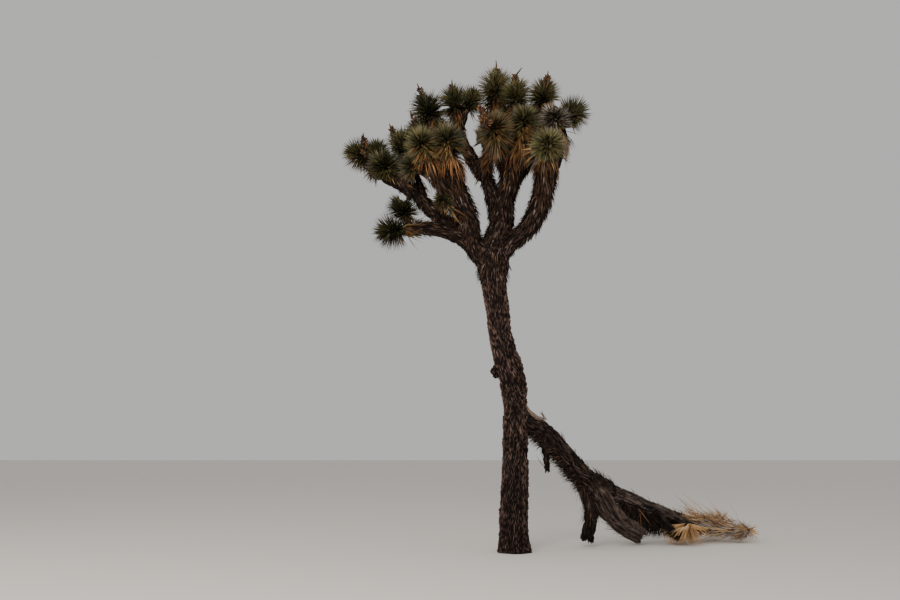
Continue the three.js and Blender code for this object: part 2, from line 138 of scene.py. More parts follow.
def close_rings(rings):
    """Points and triangles of a skin through rings of points, closed over each end."""
    rows, sides = rings.shape[:2]
    points = np.vstack([rings.reshape(-1, 3), rings[0].mean(0), rings[-1].mean(0)])
    one, two = np.arange(sides), (np.arange(sides) + 1) % sides
    a, b = ((np.arange(rows - 1)[:, None] * sides + side).ravel() for side in (one, two))
    last_ring, first_end = (rows - 1) * sides, rows * sides
    return points, np.vstack([
        np.stack([a, b, b + sides], -1),
        np.stack([a, b + sides, a + sides], -1),
        np.stack([np.full(sides, first_end), two, one], -1),
        np.stack([np.full(sides, first_end + 1), last_ring + one, last_ring + two], -1),
    ])


def join(parts):
    """Points and triangles of several meshes as one."""
    counts = np.cumsum([0] + [len(points) for points, _ in parts])
    return (np.vstack([points for points, _ in parts]),
            np.vstack([faces + start for (_, faces), start in zip(parts, counts)]))


def add_object(name, data):
    made = bpy.data.objects.new(name, data)
    bpy.context.scene.collection.objects.link(made)
    return made


def make_piece(name, points, faces, finishes, finish_of=None, smooth=True, **values):
    """An object of faces. Finish_of is each face's place in finishes, and values are kept at the points."""
    mesh = bpy.data.meshes.new(name)
    mesh.from_pydata(points, [], faces, shade_flat=not smooth)
    for finish in finishes:
        mesh.materials.append(finish)
    if finish_of is not None:
        mesh.polygons.foreach_set("material_index", finish_of.astype(np.int32))
    for key, value in values.items():
        kind, field = ("FLOAT_VECTOR", "vector") if value.ndim == 2 else ("FLOAT", "value")
        mesh.attributes.new(key, kind, "POINT").data.foreach_set(field, value.astype(np.float32).ravel())
    return add_object(name, mesh)


def paint(code):
    """A colour as light, from its six-figure code."""
    parts = [int(code[k:k + 2], 16) / 255 for k in (0, 2, 4)]
    return (*(p / 12.92 if p <= 0.04045 else ((p + 0.055) / 1.055) ** 2.4 for p in parts), 1)


def plain_finish(name, code, roughness, shine):
    """A finish in one plain colour."""
    material = bpy.data.materials.new(name)
    material.use_nodes = True
    inputs = material.node_tree.nodes["Principled BSDF"].inputs
    inputs["Base Color"].default_value = paint(code)
    inputs["Roughness"].default_value = roughness
    inputs["Specular IOR Level"].default_value = shine
    return material


def add_node(tree, kind, inputs, output=0, **settings):
    """One output of a new node, whose inputs hold values or take other nodes' outputs."""
    made = tree.nodes.new(kind)
    for name, value in settings.items():
        setattr(made, name, value)
    for name, value in inputs.items():
        if isinstance(value, bpy.types.NodeSocket):
            tree.links.new(value, made.inputs[name])
        else:
            made.inputs[name].default_value = value
    return made.outputs[output]


def weathered_group():
    """Colour and fine height of bark or bare wood: dark in clefts, partly the bark's own dark and partly
    painted shade, reddish at edges, grey on faces, and paler in patches on the raised plates, partly wear and
    partly painted highlight.
    """
    group = bpy.data.node_groups.new("weathered surface", "ShaderNodeTree")
    given = {"Relief": "Float", "Tint": "Float", "Grain": "Vector", "Cleft Color": "Color",
             "Edge Color": "Color", "Face Color": "Color", "Worn And Highlight Color": "Color", "Worn And Highlight Share": "Float"}
    for in_out, sockets in (("INPUT", given), ("OUTPUT", {"Color": "Color", "Height": "Float"})):
        for name, kind in sockets.items():
            group.interface.new_socket(name, in_out=in_out, socket_type="NodeSocket" + kind)
    given = group.nodes.new("NodeGroupInput").outputs
    out = group.nodes.new("NodeGroupOutput").inputs

    def noise(upright, scale, roughness):
        stretch = {0: given["Grain"], 1: (1, 1, upright)}
        place = add_node(group, "ShaderNodeVectorMath", stretch, operation="MULTIPLY")
        return add_node(group, "ShaderNodeTexNoise", {
            "Vector": place, "Scale": scale, "Detail": 5, "Roughness": roughness})

    def ramp(value, low, high, least=0, most=1):
        return add_node(group, "ShaderNodeMapRange", {
            "Value": value, "From Min": low, "From Max": high, "To Min": least, "To Max": most})

    def blend(share, under, over):
        return add_node(group, "ShaderNodeMix", {0: share, 6: under, 7: over}, 2, data_type="RGBA")

    def reckon(operation, *values):
        return add_node(group, "ShaderNodeMath", dict(enumerate(values)), operation=operation)

    fine, patches = noise(0.16, 130, 0.65), noise(0.4, 16, 0.7)
    rising, flat = ramp(given["Relief"], 0.05, 0.45), ramp(given["Relief"], 0.35, 0.9)
    # dark clefts: partly the bark's own dark colour, partly painted shade
    edged = blend(rising, given["Cleft Color"], given["Edge Color"])
    faced = blend(flat, edged, given["Face Color"])
    # paler patches on the raised plates: partly wear, partly painted highlight
    worn_and_highlight_patches = reckon("MULTIPLY", ramp(patches, 0.42, 0.68), given["Worn And Highlight Share"])
    worn = blend(reckon("MULTIPLY", worn_and_highlight_patches, rising), faced, given["Worn And Highlight Color"])
    shade = ramp(reckon("ADD", given["Tint"], fine), 0.3, 1.7, 0.3, 1.8)
    shaded = add_node(group, "ShaderNodeVectorMath", {0: worn, "Scale": shade}, operation="SCALE")
    group.links.new(shaded, out["Color"])
    group.links.new(reckon("MULTIPLY_ADD", given["Relief"], 0.5, fine), out["Height"])
    return group


weathered_surface = weathered_group()


def bark_finish(name, cleft, edge, face, worn, worn_and_highlight_share, roughness, bump):
    """A bark or bare wood finish from the weathered surface, by its colours and how rough it is."""
    material = plain_finish(name, face, roughness, 0.2)
    tree = material.node_tree
    # the cleft colour is partly painted shade, and the worn colour is partly painted highlight
    inputs = {"Cleft Color": paint(cleft), "Edge Color": paint(edge), "Face Color": paint(face),
              "Worn And Highlight Color": paint(worn), "Worn And Highlight Share": worn_and_highlight_share}
    for key, output in (("relief", "Fac"), ("tint", "Fac"), ("grain", "Vector")):
        inputs[key.capitalize()] = add_node(tree, "ShaderNodeAttribute", {}, output, attribute_name=key)
    colour = add_node(tree, "ShaderNodeGroup", inputs, "Color", node_tree=weathered_surface)
    bumps = {"Height": colour.node.outputs["Height"], "Strength": bump, "Distance": 0.006}
    normal = add_node(tree, "ShaderNodeBump", bumps, "Normal")
    tree.links.new(colour, tree.nodes["Principled BSDF"].inputs["Base Color"])
    tree.links.new(normal, tree.nodes["Principled BSDF"].inputs["Normal"])
    return material


def trunk_skin():
    """Rings of bark up the trunk, with their relief, tint and grain."""
    profile, _ = smooth_line(TRUNK[:, [1, 2, 0, 3]])
    height = np.arange(0, TRUNK[-1, 0] + TRUNK_STEP, TRUNK_STEP)
    height[-1] = TRUNK[-1, 0]
    sway_x, sway_y, thick = (np.interp(height, profile[:, 2], profile[:, k])[:, None] for k in (0, 1, 3))
    height = height[:, None]
    turn = turns(TRUNK_ROUND)
    grain = rolled(turn, thick / 2, height)
    knee = np.exp(-((height - KNEE_HEIGHT) / KNEE_TALL) ** 2)
    around = np.arange(TRUNK_ROUND) / TRUNK_ROUND
    around = around + (WANDER_ROUND[0] + WANDER_ROUND[1] * knee) * swells(grain, 0.26, 3)
    along = height + (WANDER_UP[0] + WANDER_UP[1] * knee) * swells(grain, 0.22, 4)
    plates, tint = bark_plates(around, along, PLATES_ROUND, PLATE_TALL, 11)
    tint = 0.22 + 0.56 * tint
    chips, _ = bark_plates(around + 0.3, along, PLATES_ROUND * 2, PLATE_TALL * 0.4, 17)
    relief = plates * (0.62 + 0.38 * chips)
    ridges = np.clip(1 - height / FLARE_TALL, 0, 1) * FLARE_PROUD * swells(grain * (1, 1, 0.2), 0.11, 8)
    reach = (thick / 2 - BARK_SUNK + PLATE_PROUD * relief * (0.55 + 0.75 * tint)
             + LUMP_PROUD * swells(grain, 0.24, 5) + GRIT_PROUD * swells(grain, 0.05, 6)
             + knee * KNEE_PROUD * swells(grain, 0.12, 7) + ridges)
    rings = rolled(turn, reach, height) + np.stack(np.broadcast_arrays(sway_x, sway_y, 0), -1)
    paler = KNEE_PALER * knee * np.clip(2 * swells(grain, 0.09, 12), 0, 1)
    # painted shade: the bark darkens towards the trunk's foot
    darker = FOOT_DARKER * np.clip(1.3 - height / SHADE_TALL, 0, 1)
    return rings, relief, np.clip(tint + paler - darker, 0, 1), grain


def burl_skin():
    """Rings of a rough lump of bark, from its lower to its upper pole, with their relief, tint and grain."""
    rise = np.linspace(BURL_POLE, np.pi - BURL_POLE, BURL_ROWS)[:, None]
    grain = rolled(turns(BURL_ROUND), np.sin(rise), -np.cos(rise)) * BURL_REACH
    relief = np.clip(0.45 + 0.9 * swells(grain, 0.022, 21), 0, 1)
    rings = np.array(BURL_PLACE) + grain * (0.84 + 0.22 * relief + 0.34 * swells(grain, 0.075, 22))[..., None]
    return rings, relief * 0.6, np.zeros(relief.shape), grain


def ends_too(values):
    """Values at the points of rings, with the two that close the ends."""
    flat = values.reshape(-1, *values.shape[2:])
    return np.concatenate([flat, values[0].mean(0)[None], values[-1].mean(0)[None]])


def bark_piece(name, skins, finishes, finish_of=None):
    """One piece of several skins, each of them its rings, relief, tint and grain."""
    points, faces = join([close_rings(skin[0]) for skin in skins])
    relief, tint, grain = (np.concatenate([ends_too(skin[k]) for skin in skins]) for k in (1, 2, 3))
    return make_piece(name, points, faces, finishes, finish_of, relief=relief, tint=tint, grain=grain)


# near-black clefts here are partly painted shade, and the pale worn colour is partly painted highlight
corky_bark = bark_finish("corky bark", "060302", "26110d", "2b201c", "806a5f", 0.9, 0.92, 1.0)
trunk_bark = bark_piece("trunk_bark", [trunk_skin(), burl_skin()], [corky_bark])
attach(trunk_bark, "root")
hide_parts("trunk")

# Living boughs
# The boughs fork from the trunk's top and from each other, and each ends in a head of leaves. Under the old
# leaves they have the same cork, in smaller plates. Each grows out of its parent, with a collar at the fork.

# parent, share of its length, bends, heart of the bough's head, the head's aim, thickness at fork and head
BOUGHS = {
    "inner_left": (
        "trunk", 0.945, [(-0.6, -0.09, 4.7), (-0.68, -0.27, 5.09), (-0.855, -0.5, 5.44),
                         (-0.935, -0.72, 5.76)], (-1, -0.93, 6.07), (-0.02, -1, 0.42), (0.40, 0.29)),
    "centre": (
        "trunk", 0.98, [(-0.225, 0.02, 4.72), (-0.14, 0, 5.06), (-0.105, -0.05, 5.4), (-0.02, -0.14, 5.7),
                        (0.06, -0.32, 6.05)], (0.19, -0.56, 6.51), (0.1, -0.75, 0.75), (0.49, 0.23)),
    "right": (
        "trunk", 0.95, [(-0.055, -0.05, 4.67), (0.258, -0.2, 4.91), (0.412, -0.33, 5.16),
                        (0.472, -0.45, 5.37), (0.5, -0.72, 5.65)],
        (0.5, -1.01, 5.99), (0, -1, 0.22), (0.335, 0.335)),
    "far_left": (
        "inner_left", 0.14, [(-0.99, -0.13, 4.995), (-1.35, -0.14, 5.32), (-1.55, -0.16, 5.535),
                             (-1.77, -0.22, 5.71)], (-1.98, -0.36, 5.86), (-0.62, -0.6, 0.5), (0.31, 0.24)),
    "low_left": (
        "far_left", 0.1, [(-0.99, -0.18, 4.86), (-1.27, -0.22, 4.90), (-1.54, -0.26, 4.91)],
        (-1.85, -0.3, 4.84), (-1, -0.15, -0.12), (0.27, 0.22)),
    "outer_left": (
        "far_left", 0.7, [(-2.18, 0.02, 5.975)], (-2.42, 0.11, 6.21), (-1, 0.05, 0.42), (0.27, 0.25)),
    "left_front": (
        "inner_left", 0.5, [(-1.09, -0.64, 5.49), (-1.26, -0.8, 5.75)],
        (-1.37, -0.93, 6.02), (-0.3, -0.9, 0.5), (0.26, 0.23)),
    "left_back": (
        "inner_left", 0.2, [(-0.83, 0.24, 5.42), (-1.02, 0.42, 6.18)],
        (-1.33, 0.5, 7.115), (-0.5, 0, 0.85), (0.25, 0.2)),
    "rear_left": (
        "left_back", 0.36, [(-1.06, 0.76, 6.12)], (-1.13, 1.19, 6.71), (-0.2, 0.75, 0.6), (0.2, 0.19)),
    "centre_left": (
        "centre", 0.2, [(-0.225, 0, 5.22), (-0.325, 0, 5.63), (-0.49, 0.02, 5.94), (-0.7, 0.05, 6.26),
                        (-0.82, 0.1, 6.58)], (-0.87, 0.15, 7.1), (-0.25, 0.05, 1), (0.295, 0.23)),
    "centre_near": (
        "centre_left", 0.42, [(-0.37, -0.35, 6.0)], (-0.272, -0.76, 6.315), (-0.1, -0.85, 0.5), (0.25, 0.2)),
    "top": (
        "centre", 0.56, [(-0.03, 0.18, 6.14), (-0.1, 0.28, 6.77)],
        (-0.19, 0.3, 7.42), (-0.03, 0, 1), (0.22, 0.2)),
    "top_near": ("centre", 0.68, [(0.09, -0.09, 6.6)], (0.115, -0.06, 7.17), (0.12, -0.15, 1), (0.2, 0.19)),
    "top_right": (
        "centre", 0.42, [(0.1, 0.12, 5.8), (0.31, 0.28, 6.16), (0.49, 0.42, 6.7)],
        (0.625, 0.5, 7.38), (0.1, 0, 1), (0.28, 0.21)),
    "rear": (
        "centre", 0.26, [(0.04, 0.42, 5.72), (0.06, 0.8, 6.39)],
        (0.08, 1.15, 7.11), (0, 0.55, 0.85), (0.25, 0.2)),
    "rear_centre": ("rear", 0.46, [(-0.08, 1.15, 6.42)], (-0.3, 1.5, 6.96), (-0.35, 0.9, 0.3), (0.19, 0.18)),
    "outer_right": (
        "right", 0.42, [(0.655, -0.18, 5.8), (0.8, -0.05, 6.2), (0.845, 0, 6.56)],
        (1.01, 0.04, 6.87), (0.85, 0.15, 0.5), (0.23, 0.2)),
    "rear_right": (
        "right", 0.34, [(0.51, 0.2, 5.71), (0.62, 0.7, 6.2)],
        (0.7, 1.13, 6.65), (0.4, 0.85, 0.45), (0.22, 0.19)),
}
# short side stems: the bough they stand on, share of its length, heart, aim and size
SIDE_STEMS = {
    "low_left_upper": ("low_left", 0.74, (-1.69, -0.3, 5.19), (-0.4, -0.2, 0.85), 0.85),
    "left_upper": ("far_left", 0.72, (-1.72, 0.06, 6.34), (-0.15, 0.1, 1), 1),
    "left_shaded": ("far_left", 0.58, (-1.52, -0.5, 5.8), (-0.15, -1, 0.1), 0.85),
    "left_small": ("inner_left", 0.34, (-1.06, -0.56, 5.25), (-0.55, -0.7, 0.35), 0.6),
    "rear_left_side": ("rear_left", 0.34, (-1.47, 0.95, 6.87), (-0.5, 0.4, 0.8), 1),
    "outer_left_upper": ("outer_left", 0.4, (-2.12, 0.06, 6.18), (0, 0.2, 1), 0.85),
    "centre_left_side": ("centre_left", 0.84, (-0.62, 0.03, 7.09), (0.35, -0.15, 1), 0.85),
    "outer_right_near": ("outer_right", 0.62, (0.7, -0.3, 6.67), (-0.45, -0.6, 0.6), 0.9),
    "rear_top_right": ("top_right", 0.45, (0.53, 1.08, 7.16), (0.05, 0.8, 0.55), 1),
}
# heads whose node has a name of its own
HEAD_NODES = {
    "inner_left": "inner_left_head", "centre": "centre_front_head", "right": "right_front_head",
    "left_back": "left_top_head", "rear": "rear_top_head",
}
HEART_REACH, STEM_REACH, SIDE_STEM_THICK, STEM_SLIM = 0.17, 0.25, 0.165, 0.92
LIMB_STEP, LIMB_ROUND, STEM_ROUND, GROWING_ROWS = 0.022, 40, 28, 12
COLLAR, COLLAR_REACH = 0.18, 0.28
LEAF_BED, CORK_WIDE, CORK_TALL, CORK_PROUD = 0.034, 0.042, 0.09, 0.016


def unit(vectors):
    vectors = np.asarray(vectors, float)
    return vectors / np.maximum(np.linalg.norm(vectors, axis=-1, keepdims=True), 1e-9)


def outward(turn, side, upper):
    """The way out from a middle line at each turn, counted from its side towards its upper side."""
    return np.cos(turn)[..., None] * side + np.sin(turn)[..., None] * upper


def grow_limb(places, thick, reach_on=None, collar=COLLAR):
    """A limb as rows along its middle line. Reach_on is the stretch past its foot, tapering in a head."""
    points, run = smooth_line(places)
    foot = run[-1]
    distance = np.linspace(0, foot, max(3, round(foot / LIMB_STEP)))
    middle = along_line(points, run, distance)
    radius = np.linspace(*thick, len(distance)) / 2
    radius = radius * (1 + collar * np.exp(-(distance / COLLAR_REACH) ** 2))
    if reach_on is not None:
        further = np.linspace(0, 1, GROWING_ROWS + 1)[1:]
        middle = np.vstack([middle, middle[-1] + further[:, None] * reach_on])
        distance = np.concatenate([distance, foot + further * np.linalg.norm(reach_on)])
        radius = np.concatenate([radius, radius[-1] * (1 - 0.72 * further ** 1.2)])
    forward = unit(np.gradient(middle, axis=0))
    side = np.zeros_like(forward)
    side[0] = unit(np.cross(forward[0], (0, 0, 1) if abs(forward[0][2]) < 0.9 else (1, 0, 0)))
    for row in range(1, len(middle)):
        side[row] = unit(side[row - 1] - forward[row] * (side[row - 1] @ forward[row]))
    return dict(line=(points, run), middle=middle, run=distance, forward=forward, side=side,
                upper=np.cross(forward, side), radius=radius, foot=foot)


def place_on(parent, share):
    """The place at a share of a limb's length."""
    points, run = limbs[parent]["line"]
    return along_line(points, run, share * run[-1])


def grow_to_head(name, head, places, heart, aim, size, thick, stem, collar=COLLAR):
    """A limb that ends in a head of leaves, on a stem that points along the head's aim."""
    aim, heart = unit(aim), np.array(heart)
    foot = heart - aim * HEART_REACH * size
    limbs[name] = grow_limb([*places, foot - aim * HEART_REACH, foot], thick, aim * STEM_REACH * size, collar)
    heads[head] = dict(limb=name, heart=heart, aim=aim, size=size, stem=stem)


def rows_at(limb, distance, *keys):
    """Values of a limb's rows at each distance along it."""
    return [np.interp(distance, limb["run"], limb[key]) if limb[key].ndim == 1
            else along_line(limb[key], limb["run"], distance) for key in keys]


def wrap(limb, radius, sides, seed):
    """The ways out round each row of a limb, and the grain of its skin."""
    out = outward(turns(sides), limb["side"][:, None], limb["upper"][:, None])
    return out, rolled(turns(sides), radius[:, None], limb["run"][:, None]) + seed


def limb_skin(limb, sides, seed):
    """Rings of cork round a limb, a little inside its full radius where old leaves lie on it."""
    radius = np.maximum(limb["radius"] - LEAF_BED, 0.02)
    out, grain = wrap(limb, radius, sides, seed)
    count = max(8, round(2 * np.pi * radius.mean() / CORK_WIDE))
    around = np.arange(sides) / sides + 0.02 * swells(grain, 0.2, seed)
    along = grain[..., 2] + 0.05 * swells(grain, 0.2, seed + 9)
    plates, tint = bark_plates(around, along, count, CORK_TALL, seed)
    reach = radius[:, None] + CORK_PROUD * (plates - 0.4) + 0.012 * swells(grain, 0.16, seed + 3)
    return limb["middle"][:, None] + out * reach[..., None], plates, tint, grain


limbs, heads = {"trunk": grow_limb(TRUNK[:, [1, 2, 0]], TRUNK[[0, -1], 3], collar=0)}, {}
limbs["trunk"]["radius"] = np.interp(limbs["trunk"]["middle"][:, 2], TRUNK[:, 0], TRUNK[:, 3] / 2)
for name, (parent, share, bends, heart, aim, thick) in BOUGHS.items():
    grow_to_head(name, name, [place_on(parent, share), *bends], heart, aim, 1, thick, thick[1] * STEM_SLIM)
for name, (parent, share, heart, aim, size) in SIDE_STEMS.items():
    stem = SIDE_STEM_THICK * size
    grow_to_head(name, name, [place_on(parent, share)], heart, aim, size, (stem, stem), stem)
living = [name for name in limbs if name != "trunk"]
bough_cork = bark_finish("bough cork", "0b0604", "21150f", "332823", "4b3f38", 0.5, 0.95, 0.6)
sides_of = {name: LIMB_ROUND if name in BOUGHS else STEM_ROUND for name in living}
bough_skins = [limb_skin(limbs[name], sides, 31 + k) for k, (name, sides) in enumerate(sides_of.items())]
bough_bark = bark_piece("bough_bark", bough_skins, [bough_cork])
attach(bough_bark, "root")
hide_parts(*(name + "_bough" for name in BOUGHS))

# Old leaves on the boughs
# Leaves that died in past years stay on: they have folded back and lie along the bough in ragged layers. They
# are dry and brown, shorter and greyer the older they are, and a few have slipped down to the trunk's fork.

# colours, with the weight of each one at each distance back from the head
OLD_AGES = [0.0, 0.28, 0.6, 1.1, 2.2]
OLD_LEAVES = {
    "char brown": ("150e0a", [0.3, 0.6, 1.6, 2.6, 2.8]),
    "dark brown": ("271b15", [0.8, 1.6, 2.8, 3.2, 3.0]),
    "earth brown": ("3e2d23", [1.4, 2.2, 2.4, 2.0, 1.6]),
    "grey brown": ("564840", [0.4, 0.6, 0.9, 1.1, 1.3]),
    "golden brown": ("654829", [2.2, 1.5, 0.5, 0.06, 0.0]),
    "orange brown": ("6f4725", [1.4, 0.9, 0.22, 0.0, 0.0]),
    "straw gold": ("86683f", [0.8, 0.3, 0.06, 0.0, 0.0]),
    "pale grey": ("74675f", [0.0, 0.05, 0.18, 0.3, 0.34]),
}
# area that each leaf covers, leaf lengths, lift and hang on the boughs, and the share of ragged leaves
OLD_LEAF_AREA, OLD_LONG, OLD_LIFT, OLD_HANG, RAGGED = 0.00115, (0.27, 0.095), 0.10, 0.4, 0.26
# leaves at the trunk's fork: from how far below its top, and the area that each covers
FORK_LEAVES, FORK_LONG, FORK_TOP = ((0.62, 0.0045), (0.42, 0.0016)), (0.17, 0.12), 0.03
# gaps of the crown that stay open to the sky, seen from the front in the trunk's plane: the middle of each
# across and up, half its width and half its height
OPEN_GAPS = np.array([
    (-0.67, 6.72, 0.08, 0.15), (-0.6, 6.45, 0.045, 0.14), (-0.49, 6.24, 0.03, 0.12), (-0.87, 6.2, 0.06, 0.06),
    (-0.77, 6.09, 0.06, 0.05), (-2.06, 5.69, 0.08, 0.04), (-1.94, 5.64, 0.11, 0.06), (-1.8, 5.58, 0.08, 0.06),
    (-1.69, 5.47, 0.08, 0.03), (-1.43, 5.73, 0.09, 0.11), (-1.57, 4.75, 0.1, 0.04), (-0.83, 4.64, 0.09, 0.07),
    (0.96, 6.51, 0.08, 0.12), (0.84, 5.95, 0.05, 0.14), (0.79, 7.02, 0.05, 0.05), (-1.05, 6.95, 0.04, 0.04),
    (-0.45, 4.72, 0.02, 0.10),
])
STANDING_PLACE = np.array([-0.955, -13.485, 1.65])
# boughs on which the leaves lie close: how much of their length, and how far they hang
LAID_CLOSE = {
    "low_left": (0.7, 0.15), "far_left": (0.65, 0.05), "outer_left": (0.7, 0.1), "centre_left": (0.85, 0.3),
    "centre_left_side": (0.5, 0.2), "outer_right": (0.65, 0.2), "outer_left_upper": (0.6, 0.2),
}
# straight down, and how many faces at a leaf's foot take the painted shade
DOWN, FOOT_FACES = np.array([0, 0, -1.0]), 6


def blades(root, bow, tip, across, wide, thick, shares=(0, 0.4, 1), widths=(0.8, 1.0)):
    """Points and triangles of stiff three-sided leaves from root to tip, bent towards bow."""
    count, rings = len(root), len(widths)
    rows = []
    for share, width in zip(shares, widths):
        centre = (1 - share) ** 2 * root + 2 * share * (1 - share) * bow + share ** 2 * tip
        along = unit(2 * (1 - share) * (bow - root) + 2 * share * (tip - bow))
        flat = unit(across - along * (across * along).sum(-1, keepdims=True))
        half = (wide * width / 2)[:, None]
        deep = (np.full(count, thick) * width)[:, None]
        rows += [centre - flat * half, centre + flat * half, centre + np.cross(flat, along) * deep]
    points = np.stack(rows + [tip], 1)
    faces = []
    for ring in range(rings - 1):
        for corner in range(3):
            a, b = ring * 3 + corner, ring * 3 + (corner + 1) % 3
            faces += [(a, b, b + 3), (a, b + 3, a + 3)]
    last = (rings - 1) * 3
    faces += [(last + corner, last + (corner + 1) % 3, rings * 3) for corner in range(3)] + [(0, 2, 1)]
    starts = np.arange(count)[:, None, None] * points.shape[1]
    return points.reshape(-1, 3), (np.array(faces) + starts).reshape(-1, 3)


def pick(weights, random):
    """One place for each row of weights, at random by weight."""
    share = np.cumsum(weights, axis=1)
    return (random.random(len(weights))[:, None] * share[:, -1:] > share).sum(1)


def sprayed(name, points, faces, colours, surface, weights, random, smooth=False, painted_shade_feet=0):
    """A piece whose leaves or fruit each have one of the colours by weight. On the share of leaves given
    last, the foot has the first colour instead, as painted shade deep in the head."""
    finishes = [plain_finish(key, code, *surface) for key, code in colours.items()]
    colour_of = np.repeat(pick(weights, random)[:, None], len(faces) // len(weights), 1)
    if painted_shade_feet:
        colour_of[random.random(len(weights)) < painted_shade_feet, :FOOT_FACES] = 0
    return make_piece(name, points, faces, finishes, colour_of.ravel(), smooth)


def clear_of(points, owner, room=0.9):
    """Whether each point stands outside every limb but its owner."""
    free = np.ones(len(points), bool)
    for name, limb in limbs.items():
        if name != owner:
            gap = np.linalg.norm(points[:, None] - limb["middle"][None, ::2], axis=-1)
            free &= (gap - limb["radius"][None, ::2] * room).min(1) > 0
    return free


def in_open_gap(*places):
    """Whether any of the places of each leaf hides a gap of the crown that stays open."""
    hidden = np.zeros(len(places[0]), bool)
    for points in places:
        nearer = -STANDING_PLACE[1] / (points[:, 1] - STANDING_PLACE[1])
        seen = STANDING_PLACE[[0, 2]] + (points - STANDING_PLACE)[:, [0, 2]] * nearer[:, None]
        apart = (seen[:, None] - OPEN_GAPS[:, :2]) / OPEN_GAPS[:, 2:]
        hidden |= ((apart ** 2).sum(-1) < 1).any(1)
    return hidden


def spots_on(limb, distance, random):
    """A random spot round a limb at each distance: its middle line, direction, way out and radius there."""
    turn = random.random(len(distance)) * 2 * np.pi
    keys = ("middle", "forward", "side", "upper", "radius")
    middle, forward, side, upper, radius = rows_at(limb, distance, *keys)
    return middle, forward, unit(outward(turn, side, upper)), radius


def old_leaves(name, random, start, end, area, long, lift, hang):
    """Folded-back leaves over a stretch of a limb: root, bow, tip, the way across, and age."""
    limb, (longest, shortest) = limbs[name], long
    mean = np.interp((start + end) / 2, limb["run"], limb["radius"])
    count = int((end - start) * 2 * np.pi * mean / area)
    distance = start + (end - start) * random.random(count)
    middle, forward, out, radius = spots_on(limb, distance, random)
    age = np.maximum(limb["foot"] - distance, 0)
    root = middle + out * (radius - LEAF_BED - 0.004)[:, None]
    sag = hang * (0.35 + 0.65 * np.abs(unit(forward)[:, 2:]))
    back = -unit(forward) * (1 - sag) + DOWN * sag + 0.16 * random.standard_normal((count, 3))
    back = unit(back - out * (back * out).sum(-1, keepdims=True))
    long = np.interp(age, [0, 0.5, 1.4], [longest, (longest + shortest) / 2, shortest])
    long = long * (0.75 + 0.45 * random.random(count))
    raised = lift * (0.4 + 3.0 * random.random(count) ** 5) * np.interp(age, [0, 0.4, 1.2], [1.5, 1.0, 0.8])
    raised += (random.random(count) < RAGGED) * (0.1 + 0.36 * random.random(count))
    bow = root + back * (long * 0.42)[:, None] + out * (LEAF_BED * 0.9 + long * raised * 0.8)[:, None]
    tip = root + back * long[:, None] + out * (LEAF_BED * 0.7 + long * raised)[:, None]
    free = clear_of(root, name, 0.8) & clear_of(tip, name, 0.6) & ~in_open_gap(bow, tip)
    return [part[free] for part in (root, bow, tip, unit(np.cross(out, back)), age)]


def together(groups):
    return [np.concatenate(parts) for parts in zip(*groups)]


random = np.random.default_rng(2024)
laid = []
for name in living:
    shorter, hang = LAID_CLOSE.get(name, (1, OLD_HANG))
    long = [size * shorter for size in OLD_LONG]
    foot = limbs[name]["foot"]
    laid.append(old_leaves(name, random, 0, foot + 0.04, OLD_LEAF_AREA, long, OLD_LIFT * shorter, hang))
    laid[-1][4] += 1.1 * (1 - shorter)
top = limbs["trunk"]["foot"]
for start, area in FORK_LEAVES:
    laid.append(old_leaves("trunk", random, top - start, top - FORK_TOP, area, FORK_LONG, OLD_LIFT, OLD_HANG))
    laid[-1][4] += 1.3
*leaves, age = together(laid)
weights = np.stack([np.interp(age, OLD_AGES, row) for _, row in OLD_LEAVES.values()], -1)
old_blades = blades(*leaves, 0.015 + 0.009 * random.random(len(age)), 0.005)
old_colours = {name: code for name, (code, _) in OLD_LEAVES.items()}
folded_leaves = sprayed("folded_leaves", *old_blades, old_colours, (0.85, 0.15), weights, random)
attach(folded_leaves, "root")

# Heads of green leaves
# At each bough's end stiff dagger leaves stand out all round the growing point. They are waxy, hard and
# straight, olive to grey-green, wide at the foot and sharp at the tip, and grow straight from the stem.
GREENS = {
    "deep green": "23241a", "dark olive": "353522", "olive": "4b492c", "grey green": "4f5039",
    "yellow green": "6c6638", "pale green": "7f7a55", "dry olive": "66502f", "gold brown": "8a6238",
    "tan": "a3814f", "silver grey": "a89f94", "dull grey": "665c53",
}
# weight of each green in a head
GREEN_TONES = {name: np.array(weights, float) for name, weights in {
    "plain": (1.2, 2.4, 2.6, 1.2, 1.0, 0.5, 0.7, 0, 0, 0, 0),
    "bright": (0.6, 1.2, 2.0, 0.8, 3.0, 1.5, 0.6, 0, 0, 0, 0),
    "shaded": (2.0, 2.8, 2.6, 0.8, 0.8, 0.2, 0.9, 0, 0, 0, 0),
    "dark": (2.6, 2.8, 1.5, 1.0, 0.2, 0.2, 0.4, 0, 0, 0, 0),
    "pale": (0.8, 1.6, 2.0, 1.6, 1.4, 1.6, 0.6, 0, 0, 0, 0),
    "sunlit": (0.0, 0.5, 1.8, 1.8, 2.6, 3.0, 1.0, 0, 0.3, 0, 0),
    "withered": (0.5, 1.0, 0.8, 0.6, 0, 0.3, 0.5, 0.2, 0.4, 2.6, 2.4),
    "ageing": (0.5, 1.8, 1.6, 0.6, 0.4, 0.1, 2.6, 0.6, 0.1, 0, 0.4),
    "turned": (0.2, 0.6, 0.5, 0.1, 0.3, 0.1, 2.2, 2.6, 1.2, 0, 0.1),
}.items()}
TONE_OF = {name: tone for tone, names in {
    "bright": ["right", "left_front"], "shaded": ["left_small", "inner_left"],
    "sunlit": ["top", "top_near", "top_right"], "pale": ["centre", "centre_left_side", "left_upper"],
    "dark": ["low_left", "low_left_upper", "left_shaded", "left_back", "rear_right"],
    "withered": ["outer_right_near"], "ageing": ["centre_near"],
}.items() for name in names}
